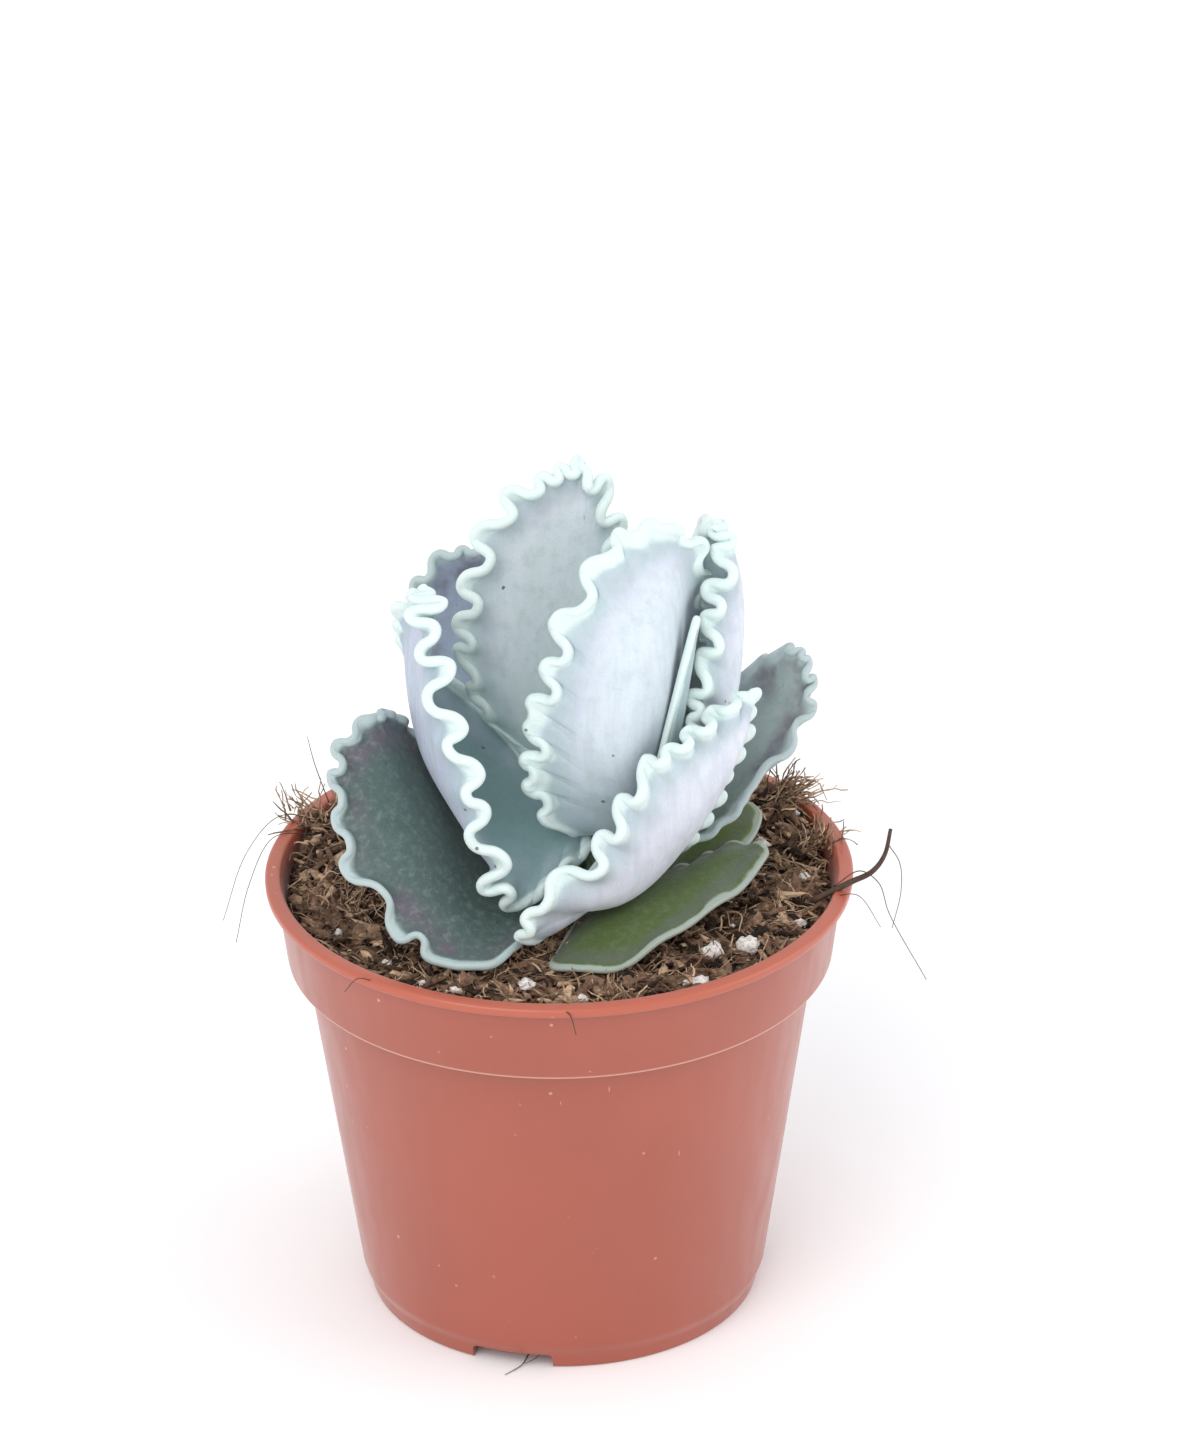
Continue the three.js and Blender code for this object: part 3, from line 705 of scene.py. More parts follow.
# Loose roots: points, radius at the start and at the end
ROOTS = [
    ([(37, -8.5, 66.5), (42.3, -8, 69.1), (45.6, -7.5, 70.6), (47.4, -7, 73), (48.3, -6.5, 77)], 0.5, 0.3),
    ([(40, -8, 68.5), (43.8, -8, 71), (46.5, -9, 69.5), (48, -10, 65), (53.4, -12, 55)], 0.1, 0.05),
    ([(47.8, -7, 75), (49.6, -7.5, 72), (49.8, -8, 67.5), (48.5, -9, 62)], 0.08, 0.05),
    ([(40, -9, 67.5), (43.5, -12, 69), (46.5, -16, 66)], 0.07, 0.04),
    ([(-35, 14, 69), (-41, 12, 71), (-46, 6, 68), (-49.5, 0, 60)], 0.07, 0.05),
    ([(-36, 10, 69), (-42, 6, 70.5), (-45.5, 0, 66), (-47.5, -5, 59)], 0.07, 0.05),
    ([(-34, 18, 70), (-36, 19, 76), (-37, 20, 80)], 0.1, 0.05),
    ([(-2, -40, 66.5), (1, -43.4, 67.5), (2, -44.2, 64.5)], 0.14, 0.06),
    ([(-24, -33, 66), (-29, -33.5, 68.3), (-31, -35, 67)], 0.09, 0.05),
]
DRAIN_ROOTS = [
    ([(-4, -24.5, 2.2), (-5.5, -27, 1.2), (-6.5, -28.6, 0.4), (-9, -31, 0.2)], 0.16, 0.05),
    ([(-2.5, -26, 2.4), (-4.5, -28, 1.1), (-6.2, -28.4, 0.5)], 0.1, 0.05),
]


def build_roots():
    """The dark twig at the rim, the hair-thin roots that stick out, and the root bit in the drain notch."""
    soil = settings("plant_soil")
    scatter = Scatter()
    for points, first, last in ROOTS + DRAIN_ROOTS:
        path = curve_through(points, 8)
        radii = [first * share for share in shrinking(len(path) - 1, 1 - last / first)]
        scatter.add(*tube(path, radii, 6), 0.5)
    box = Paintbox("dried_root", shade(soil.root, 0.6))
    wear = box.noise(box.place(), 1.4, detail=4)
    box.coat(box.ramp(wear, 0.3, 0.7), soil.root)
    box.bump(wear, 0.08)
    dress(scatter.piece("loose_roots", smooth=True), box.finish(0.8), "soil")


# The leaves


def curve_through(points, steps):
    """A centripetal Catmull-Rom curve through points, with the ends drawn out straight."""
    points = [Vector(p) for p in points]
    whole = [2 * points[0] - points[1], *points, 2 * points[-1] - points[-2]]
    made = [points[0]]
    for p0, p1, p2, p3 in zip(whole, whole[1:], whole[2:], whole[3:]):
        d0, d1, d2 = (math.sqrt((b - a).length) for a, b in ((p0, p1), (p1, p2), (p2, p3)))
        start = ((p1 - p0) / d0 - (p2 - p0) / (d0 + d1) + (p2 - p1) / d1) * d1
        end = ((p2 - p1) / d1 - (p3 - p1) / (d1 + d2) + (p3 - p2) / d2) * d1
        for i in range(1, steps + 1):
            t = i / steps
            cubic = 2 * p1 - 2 * p2 + start + end
            square = -3 * p1 + 3 * p2 - 2 * start - end
            made.append(p1 + start * t + square * t * t + cubic * t**3)
    return made


class Run:
    """A curve that gives its point at a share of its length."""

    def __init__(self, points):
        self.points = points
        self.lengths = [0.0]
        for a, b in zip(points, points[1:]):
            self.lengths.append(self.lengths[-1] + (b - a).length)
        self.total = self.lengths[-1]

    def at(self, share):
        run = min(max(share, 0), 1) * self.total
        i = min(max(bisect_left(self.lengths, run), 1), len(self.points) - 1)
        low, high = self.lengths[i - 1], self.lengths[i]
        return self.points[i - 1].lerp(self.points[i], (run - low) / (high - low))


CURVE_STEPS = 24
# Share of the midrib along which the rays to the margin start, and how much they crowd towards the base
RIB_REACH = 0.84
RIB_CROWD = 1.15
# Shares of a curve to both sides of a point that give its direction
RIB_STEP = 0.02
EDGE_STEP = 0.01
# Depths of the rows next to the bead, from the margin inwards, and the width of a half blade that they suit
EDGE_ROWS = (6.6, 4.6, 3.0, 1.8, 1.0)
EDGE_ROWS_WIDTH = 12.0
INNER_ROWS = 4
# A fold this long reaches the common depth into the blade. Shorter ones reach less, down to a share of it,
# and longer ones more, until they are this many times as long
FULL_FOLD = 2.6
LEAST_DEPTH = 0.45
LONGEST_FOLD = 1.2
FRILL_FADE = 2.0
CURL = 0.21
# Shares of the margin between which the folds made by rule, and the lips, grow to their full height
FRILL_START = (0.04, 0.2)
LIP_START = (0.03, 0.14)
# The blade's thickness next to the bead, and how it thins towards the tip and towards the margin
MARGIN_FLESH = 0.8
TIP_THINNING = 0.3
FLESH_FADE = 1.4
# The bead's section is an arc in degrees, with its centre a share of the radius inside the rim
BEAD_STEPS = 6
BEAD_START = -30
BEAD_SWEEP = 240
BEAD_INSET = 0.1
# Where the half blade is narrow the bead is slimmer: a share of its radius, and more for each millimetre
LEAST_BEAD = 0.35
BEAD_GROWTH = 0.2
# A leaf with low folds takes fewer columns
LOW_FRILL = 0.6
LOW_FRILL_SAMPLES = 8
# More open vertices than this at a leaf's base mean that its halves don't meet along the midrib
MOST_OPEN = 80
BASE_LENGTH = 1.1
BASE_SHRINK = 0.8


@dataclass
class Leaf:
    """One leaf, in millimetres, with curves and folds that run from the base to the tip.

    A fold is a share of the margin's length and a height, crests and hollows by turns. A margin without folds
    here has them by rule.
    """

    name: str
    slot: str
    rib: list
    left: list
    tip: tuple
    right: list
    # Thickness at the foot of the midrib
    thick: float
    # Height of the folds made by rule
    frill: float
    # Shifts the folds made by rule and the pattern of the bloom
    seed: int
    # Display colours of the outer face, the inner face and the base
    outer: tuple
    inner: tuple
    base: tuple
    # Share of the leaf that the base's colour reaches
    base_reach: float = 0.42
    # Length of margin that takes a crest and a hollow
    wave: float = 9
    # How far the folds of the left and the right margin lean outwards, in degrees
    turns: tuple = (0, 0)
    # How much the folds made by rule crowd towards the base
    gather: float = 1.0
    # How far the left and the right margin flare
    lips: tuple = (0, 0)
    # Radius of the bead as a share of the common one
    bead: float = 1.0
    left_folds: tuple = ()
    right_folds: tuple = ()


class Fold:
    """The waves of one margin: the share of its length and the height of each crest and hollow."""

    def __init__(self, spots, total):
        self.knots = [(0.0, 0.0), *spots, (1.0, 0.0)]
        self.total = total

    def at(self, phase):
        """Share of the margin, height of the wave, slide along the margin and length of the fold."""
        k = min(int(phase), len(self.knots) - 2)
        part = phase - k
        (share, height), (next_share, next_height) = self.knots[k], self.knots[k + 1]
        run = (next_share - share) * self.total
        swing = abs(next_height - height) / 2
        slide = CURL * run * min(1, swing / max(run, 0.1)) * math.sin(2 * math.pi * part)
        turn = (1 - math.cos(math.pi * part)) / 2
        return share + (next_share - share) * part, height + (next_height - height) * turn, slide, run


def smoothstep(value, low, high):
    t = min(max((value - low) / (high - low), 0), 1)
    return t * t * (3 - 2 * t)


def fold_spots(given, count, leaf):
    """The given crests and hollows with small ones before them, or all of them by rule."""
    if given:
        missing = count - len(given)
        start, height = given[0]
        before = [(start * (k + 1) / (missing + 1), 0.4 * abs(height) * (-1) ** k) for k in range(missing)]
        return [*before, *given]
    spots = []
    for k in range(count):
        share = ((k + 0.5) / count) ** leaf.gather
        uneven = 1 + 0.2 * math.sin(1.16 * k + leaf.seed) + 0.12 * math.sin(2.5 * k + 2 * leaf.seed)
        spots.append((share, leaf.frill * smoothstep(share, *FRILL_START) * uneven * (-1) ** k))
    return spots


class Blade:
    """The sheet of a leaf, hung between its midrib and its two margins."""

    def __init__(self, leaf):
        self.leaf = leaf
        self.rib = Run(curve_through([*leaf.rib, leaf.tip], CURVE_STEPS))
        outline = curve_through([*leaf.left, leaf.tip, *leaf.right[::-1]], CURVE_STEPS)
        split = CURVE_STEPS * len(leaf.left)
        self.edges = (Run(outline[: split + 1]), Run(outline[split:][::-1]))
        mean = (self.edges[0].total + self.edges[1].total) / 2
        given = [leaf.left_folds, leaf.right_folds]
        count = max(2 * max(2, round(mean / leaf.wave)), *map(len, given))
        spots = [fold_spots(some, count, leaf) for some in given]
        self.folds = [Fold(some, edge.total) for some, edge in zip(spots, self.edges)]
        self.phase_count = count + 1

    def spoke(self, shares):
        """The point on the midrib, the ray to each margin and the bow of the section between them."""
        reach = RIB_REACH * (sum(shares) / 2) ** RIB_CROWD
        root = self.rib.at(reach)
        along = (self.rib.at(min(reach + RIB_STEP, 1)) - self.rib.at(max(reach - RIB_STEP, 0))).normalized()
        rays = [edge.at(t) - root for edge, t in zip(self.edges, shares)]
        bow = (rays[0] + rays[1]) / 2
        bow -= along * bow.dot(along)
        return root, rays, bow

    def columns(self, samples):
        """Columns from the left base round the tip to the right base: side, and state of both folds."""
        count = round(self.phase_count * samples / 2)
        made = [[fold.at(self.phase_count * j / count) for fold in self.folds] for j in range(count + 1)]
        return [(0, column) for column in made] + [(1, column) for column in made[-2::-1]]


def row_shares(width):
    """Shares from midrib to bead for a half blade of this width."""
    scale = min(1, width / EDGE_ROWS_WIDTH)
    near = [1 - d * scale / max(width, 1e-3) for d in EDGE_ROWS]
    return [near[0] * i / INNER_ROWS for i in range(INNER_ROWS)] + near


def frilled_column(blade, side, states, frill_depth):
    """Points from midrib to margin of one column, each with its depth from the margin and its share."""
    root, rays, bow = blade.spoke([state[0] for state in states])
    ray, edge = rays[side], blade.edges[side]
    t, height, slide, run = states[side]
    width = ray.length
    forward = (edge.at(t + EDGE_STEP) - edge.at(t - EDGE_STEP)).normalized()
    lean = math.radians(blade.leaf.turns[side])
    deepest = LEAST_DEPTH + (1 - LEAST_DEPTH) * min(LONGEST_FOLD, run / FULL_FOLD)
    deep = min(width, frill_depth * deepest)
    lip = blade.leaf.lips[side] * smoothstep(t, *LIP_START)
    points = []
    for rho in (*row_shares(width), 1.0):
        depth = (1 - rho) * width
        out = (ray + bow * (2 * rho - 1)).normalized()
        normal = out.cross(forward).normalized() * (1 if side == 0 else -1)
        reach = max(0, 1 - depth / max(deep, 1e-3)) ** FRILL_FADE
        across = normal * (height * math.cos(lean) + lip) + out * height * math.sin(lean)
        p = root + ray * rho + bow * (rho * rho - rho) + (across + forward * slide) * reach
        points.append((p, depth, rho))
    return points


def flesh(leaf, t, rho):
    """Thickness: full at the midrib, thin towards the tip and next to the bead."""
    fade = rho**FLESH_FADE
    return leaf.thick * (1 - TIP_THINNING * t) * (1 - fade) + MARGIN_FLESH * fade


def bead_section(rim, before, normal, radius):
    """Points of the round bead, from the outer face round the rim to the inner face."""
    out = rim - before
    out = (out - normal * out.dot(normal)).normalized()
    centre = rim - out * BEAD_INSET * radius
    turns = (math.radians(BEAD_START + BEAD_SWEEP * k / BEAD_STEPS) for k in range(BEAD_STEPS + 1))
    return [centre + (normal * math.cos(turn) + out * math.sin(turn)) * radius for turn in turns]


def build_blade(leaf, look):
    """One leaf: a closed fleshy sheet with a rounded bead along its frilled margin."""
    blade = Blade(leaf)
    bead = look.bead_radius / MM * leaf.bead
    columns = blade.columns(look.samples if leaf.frill > LOW_FRILL else LOW_FRILL_SAMPLES)
    sheet = [frilled_column(blade, *column, look.frill_depth / MM) for column in columns]
    last, edge = len(sheet) - 1, len(sheet[0]) - 1

    def normal_at(j, i):
        along = sheet[min(j + 1, last)][i][0] - sheet[max(j - 1, 0)][i][0]
        out = sheet[j][min(i + 1, edge)][0] - sheet[j][max(i - 1, 0)][0]
        return out.cross(along).normalized()

    rest_selection()
    bpy.ops.mesh.primitive_grid_add(x_subdivisions=last, y_subdivisions=2 * edge + BEAD_STEPS, size=1)
    obj = named("blade_" + leaf.name)
    vertices = obj.data.vertices
    values = {name: [0.0] * len(vertices) for name in ("margin_depth", "along", "inner")}
    for j, (_, states) in enumerate(columns):
        t = (states[0][0] + states[1][0]) / 2
        section = []
        for i in range(edge):
            p, depth, rho = sheet[j][i]
            normal = normal_at(j, i)
            if i == 0:
                normal = (normal + normal_at(last - j, 0)).normalized()
            section.append((p, normal * flesh(leaf, t, rho) / 2, depth))
        width = sheet[j][0][1]
        radius = bead * min(1, LEAST_BEAD + BEAD_GROWTH * width)
        ring = bead_section(sheet[j][edge][0], sheet[j][edge - 1][0], normal_at(j, edge), radius)
        outer = [(p + n, depth, 0.0) for p, n, depth in section]
        inner = [(p - n, depth, 1.0) for p, n, depth in section]
        middle = [(p, 0.0, k / BEAD_STEPS) for k, p in enumerate(ring)]
        for i, (p, *numbers) in enumerate(outer + middle + inner[::-1]):
            index = i * (last + 1) + j
            vertices[index].co = p * MM
            values["margin_depth"][index], values["inner"][index] = numbers
            values["along"][index] = t
    for name, numbers in values.items():
        obj.data.attributes.new(name, "FLOAT", "POINT").data.foreach_set("value", numbers)
    close_base(obj, blade)
    subdivide = obj.modifiers.new("smooth", "SUBSURF")
    subdivide.levels = subdivide.render_levels = 1
    apply_modifiers(obj)
    face_outwards(obj)
    bpy.ops.object.shade_smooth()
    return obj


def close_base(obj, blade):
    """Welds the midrib and draws the open base into the stem."""
    edit(obj)
    bpy.ops.mesh.select_mode(type="VERT")
    bpy.ops.mesh.remove_doubles(threshold=1e-3 * MM)
    bpy.ops.mesh.select_all(action="DESELECT")
    bpy.ops.mesh.select_non_manifold()
    open_count = obj.data.count_selected_items()[0]
    assert open_count < MOST_OPEN, (obj.name, open_count)
    root = blade.rib.at(0)
    back = (root - blade.rib.at(3 * RIB_STEP)).normalized() * BASE_LENGTH * MM
    bpy.ops.mesh.extrude_region_move(TRANSFORM_OT_translate={"value": back})
    bpy.ops.transform.resize(value=[BASE_SHRINK] * 3, center_override=root * MM + back)
    bpy.ops.mesh.edge_face_add()
    bpy.ops.object.mode_set(mode="OBJECT")


LEAVES = [
    Leaf(
        name="inner_front",
        rib=[(9, -7.2, 78), (11, -12, 92), (13.7, -10, 109)],
        left=[(10.8, -6, 78.3), (14, 1, 84), (17.5, 6, 93), (19, 7.5, 104.5), (19.4, 6, 114.5)],
        tip=(16.6, 3, 120.6),
        right=[
            (6, -7.4, 78), (0.6, -9, 80), (-2.6, -9, 85),
            (-2.4, -8.6, 94), (0, -7, 106), (5.6, -3, 116),
        ],
        thick=3, frill=1.5, wave=5.2, turns=(65, 75), seed=1, gather=1.4, lips=(2, 2.4),
        right_folds=[
            (0.14, 1.2), (0.208, -1.5), (0.232, 1.4), (0.272, -0.1), (0.295, 1.6), (0.348, -2.1),
            (0.374, 1.2), (0.415, 0.4), (0.44, 1.1), (0.505, -3.1), (0.535, 0.1), (0.605, -3.2),
            (0.632, 1), (0.742, -3), (0.772, 1.1), (0.85, -0.5), (0.872, 2), (0.91, 0.2), (0.94, 1.3),
            (0.97, 0.2),
        ],
        slot="leaf_young", outer=(208, 217, 226), inner=(180, 198, 196), base=(176, 194, 198),
    ),
    Leaf(
        name="inner_back",
        rib=[(6.2, 0.3, 78.5), (4.5, 9, 84.5), (4.3, 15, 104)],
        left=[
            (3.6, -1, 79), (-5.4, 4.4, 85.5), (-11.2, 4, 92.8),
            (-13.4, 4.5, 103), (-12, 7, 112.6), (-7.6, 9.4, 121),
        ],
        tip=(4.3, 12, 127),
        right=[(9.2, 0.6, 79), (12, 8, 85), (13.6, 10, 100), (10.2, 12, 111), (8, 12, 120.5)],
        thick=2.8, frill=2.1, wave=5.4, turns=(35, 35), seed=2, gather=1.3,
        left_folds=[
            (0.275, 1), (0.325, -0.9), (0.362, 0.8), (0.405, -1.1), (0.458, 1.4), (0.49, -1.3),
            (0.52, 1.3), (0.58, -2), (0.608, 1.4), (0.688, -2.1), (0.718, 1.9), (0.802, -1.4),
            (0.825, 2.2), (0.885, -0.9), (0.905, 1), (0.935, -0.8), (0.95, 0.9), (0.975, -0.9),
            (0.99, 1.4),
        ],
        slot="leaf_young", outer=(206, 216, 226), inner=(226, 236, 240), base=(152, 182, 172),
    ),
    Leaf(
        name="second_left",
        rib=[(3.4, -5.1, 76.2), (-10.6, -5, 80), (-18.4, -4, 88.5), (-19.8, -4, 101)],
        left=[
            (4.4, -8, 75.8), (-5.8, -20, 73), (-11.2, -21.6, 81.5),
            (-13.4, -21, 92), (-17.2, -17, 102), (-18.2, -11.4, 110),
        ],
        tip=(-17.8, -5, 115.4),
        right=[(3.2, -2.6, 76.6), (-4, 6, 81), (-12.7, 12, 90), (-20.5, 9, 99.5), (-21.8, 3, 107.5)],
        thick=2.8, frill=2, wave=6, turns=(-10, 30), seed=3, gather=1.1,
        left_folds=[
            (0.245, 2.6), (0.29, -1.1), (0.32, 2.7), (0.36, -3.1), (0.448, 0.9), (0.495, -2.4),
            (0.542, 0.1), (0.577, -3), (0.652, 0.2), (0.684, -3.2), (0.762, 1.1), (0.825, -3.1),
            (0.858, 1.6), (0.91, -1), (0.945, 3.4), (0.972, -1.7), (0.99, 2.8),
        ],
        right_folds=[
            (0.1, 0.5), (0.18, -0.7), (0.26, 1), (0.33, -1.2), (0.4, 1.4), (0.47, -1.4), (0.53, 1.2),
            (0.58, -0.9), (0.64, 2.8), (0.7, -0.6), (0.75, 1.3), (0.79, -0.8), (0.84, 2.2), (0.88, -0.8),
            (0.92, 1.7), (0.955, -1), (0.98, 1.3),
        ],
        slot="leaf_young", outer=(186, 194, 212), inner=(122, 152, 154), base=(136, 164, 166),
    ),
    Leaf(
        name="second_right",
        rib=[(11.2, -2.1, 76.2), (19, 0, 79.6), (25, 3, 93.5), (26, 7, 108)],
        left=[(10.8, 0.6, 76.6), (15, 10, 80), (20, 15, 91), (21, 15, 105.5), (20.6, 12.5, 115.4)],
        tip=(23.4, 9.6, 119),
        right=[
            (11.8, -4.4, 76), (16, -12, 82), (20, -8, 94.5),
            (21.6, -3.4, 103), (22.6, 0.4, 110), (25, 5, 115.5),
        ],
        thick=2.8, frill=1.9, wave=4.9, turns=(30, -15), seed=4, gather=1.1,
        right_folds=[
            (0.28, 1.2), (0.36, -1.3), (0.42, 1.1), (0.455, -1.2), (0.485, 0.2), (0.515, -2.1),
            (0.545, 0.8), (0.62, -1.5), (0.66, 2.1), (0.718, -1.3), (0.76, 1.7), (0.795, -2.4),
            (0.845, 1.6), (0.91, -2.1), (0.94, 1.2), (0.97, -1.5), (0.99, 1),
        ],
        slot="leaf_young", outer=(220, 225, 236), inner=(168, 188, 190), base=(150, 176, 176),
    ),
    Leaf(
        name="third_front",
        rib=[(8.5, -8.2, 73.6), (8.4, -18, 72.6), (15, -17, 79.4), (21.4, -15, 87.6), (26.4, -10.6, 95.2)],
        left=[(11, -7, 73.8), (18.6, -7.2, 77), (24.4, -4.6, 87), (27, -4, 94.5)],
        tip=(27.2, -6, 98.8),
        right=[
            (5.6, -8.8, 73.2), (-4, -24.4, 68), (-5.6, -25.4, 71.6), (-1, -24.4, 77), (5.6, -22, 82),
            (10, -20, 88.5), (14.6, -17, 94.5), (21, -12, 97.4),
        ],
        thick=2.8, frill=1.7, wave=6.6, turns=(30, -30), seed=5, gather=1.0,
        right_folds=[
            (0.297, -0.8), (0.32, 1.4), (0.35, -0.4), (0.383, 0.8), (0.455, -2.2), (0.51, 2.7),
            (0.56, -1.8), (0.592, 1.5), (0.64, -2.2), (0.675, 1.1), (0.735, -2.3), (0.76, 1),
            (0.785, -0.4), (0.81, 2.2), (0.845, -1.1), (0.87, 2.3), (0.915, -2.4), (0.945, 2),
            (0.985, -1.7),
        ],
        slot="leaf_young", outer=(216, 220, 230), inner=(156, 170, 176), base=(208, 212, 220),
    ),
    Leaf(
        name="third_back",
        rib=[(5.3, 0.6, 73.8), (-8, 17, 78.5), (-12.6, 27, 95)],
        left=[(2.6, -0.4, 74), (-15.5, 13, 80), (-20.6, 20, 91.5), (-20.6, 24, 100.5), (-18, 25.5, 105.6)],
        tip=(-13.6, 26, 107.6),
        right=[(8, 1.4, 74), (1, 20, 80), (-2.3, 27, 95), (-7.4, 28, 105)],
        thick=2.6, frill=0.9, wave=5.4, turns=(30, 30), seed=6, bead=0.8,
        slot="leaf_old", outer=(170, 180, 196), inner=(158, 170, 190), base=(110, 130, 128),
    ),
    Leaf(
        name="fourth_left",
        rib=[(1.9, -5.9, 71.2), (-9.5, -13, 69.2), (-20.5, -13.5, 81), (-25.5, -8, 90)],
        left=[
            (1.6, -8.8, 70.8), (-10.6, -28, 67), (-19, -27, 68.2), (-25.8, -23, 73), (-31, -19, 78.4),
            (-33, -13, 86.5), (-31.8, -8, 92.4),
        ],
        tip=(-26.4, -4, 95.4),
        right=[(1.8, -3.2, 71.6), (-7, 0.5, 74.5), (-16, 3, 81), (-22.8, 2.8, 91.2)],
        thick=2.4, frill=0.8, wave=5.4, turns=(50, 30), seed=7, bead=0.68,
        left_folds=[
            (0.42, 0.4), (0.465, -1.9), (0.49, 0.9), (0.6, -3.6), (0.652, 0.5), (0.72, -3.4),
            (0.755, -0.6), (0.81, -3.6), (0.84, 0.3), (0.87, -2.6), (0.9, 1), (0.935, -1.2),
            (0.965, 0.9),
        ],
        slot="leaf_old", outer=(140, 152, 158), inner=(76, 96, 92), base=(52, 72, 62),
    ),
    Leaf(
        name="fourth_right",
        rib=[(10.9, -2.5, 71.2), (23.8, 6, 77), (31, 11, 86)],
        left=[(10.6, 0, 71.6), (21, 14, 79.5), (26.3, 17, 89.2), (31.4, 16, 94.3)],
        tip=(36, 12, 97),
        right=[(11.4, -5, 71), (22.6, -2.6, 75), (29.5, 1.8, 80.2), (34.8, 7, 85.7), (37.8, 10, 91.5)],
        thick=2.4, frill=1, wave=5, turns=(30, 30), seed=8, bead=0.7, base_reach=0.85,
        right_folds=[
            (0.46, -0.7), (0.565, -1.2), (0.642, 0.8), (0.743, -0.8), (0.785, 1), (0.86, -1.7),
            (0.89, 0.3), (0.93, -2), (0.96, 0.2), (0.985, -0.8),
        ],
        slot="leaf_old", outer=(160, 168, 170), inner=(156, 170, 168), base=(66, 96, 58),
    ),
    Leaf(
        name="lowest_front",
        rib=[(7.8, -9.1, 69.4), (13, -15, 70), (22.6, -8, 71.4)],
        left=[(10.4, -7.6, 69.6), (19, -4.4, 70.3), (25.6, -0.3, 71.6)],
        tip=(30.3, -2.6, 71.8),
        right=[
            (5.4, -10, 69), (1, -19, 66.2), (-1.4, -27, 66),
            (8.4, -28.4, 66.8), (18, -21.4, 69.6), (26.6, -11, 70.4),
        ],
        thick=2.2, frill=0.5, seed=9, bead=0.5,
        slot="leaf_green", outer=(104, 122, 84), inner=(72, 90, 30), base=(62, 84, 24),
    ),
    Leaf(
        name="lowest_back",
        rib=[(4.4, 0.6, 69.4), (-1, 14, 70), (-6, 25, 71.5)],
        left=[(2, -0.4, 69.4), (-9, 8, 69.5), (-14, 20, 70.5)],
        tip=(-9, 31, 72),
        right=[(6.8, 1.4, 69.4), (7, 14, 69.5), (2.5, 25, 70.5)],
        thick=2.2, frill=0.4, seed=10, bead=0.5,
        slot="leaf_green", outer=(110, 128, 96), inner=(90, 108, 58), base=(76, 96, 40),
    ),
    Leaf(
        name="lowest_right",
        rib=[(10.8, -1.6, 68), (18, 2.4, 69), (24, 5.6, 71)],
        left=[(10, 0.6, 68.2), (17, 10, 70.5), (24, 13, 72.4)],
        tip=(29.6, 8.4, 72.2),
        right=[(11.4, -3.8, 67.8), (18, -3, 68.6), (26.6, 0.6, 70.4)],
        thick=2, frill=0.2, seed=11, bead=0.5,
        slot="leaf_green", outer=(110, 128, 80), inner=(98, 120, 32), base=(84, 108, 26),
    ),
    Leaf(
        name="axil",
        rib=[(13.2, -8.5, 81.4), (16, -8.8, 89), (18.4, -6.5, 100)],
        left=[(13.9, -7.8, 81.6), (16, -6.9, 87), (17.7, -5, 95), (19, -3.5, 103)],
        tip=(20.3, -3, 110),
        right=[(12.6, -9.2, 81.4), (14.4, -11.2, 90), (16.4, -9.4, 98), (18.4, -6.8, 105)],
        thick=1.5, frill=0, seed=12, bead=0.7,
        slot="leaf_young", outer=(184, 204, 206), inner=(170, 194, 198), base=(150, 178, 172),
    ),
]


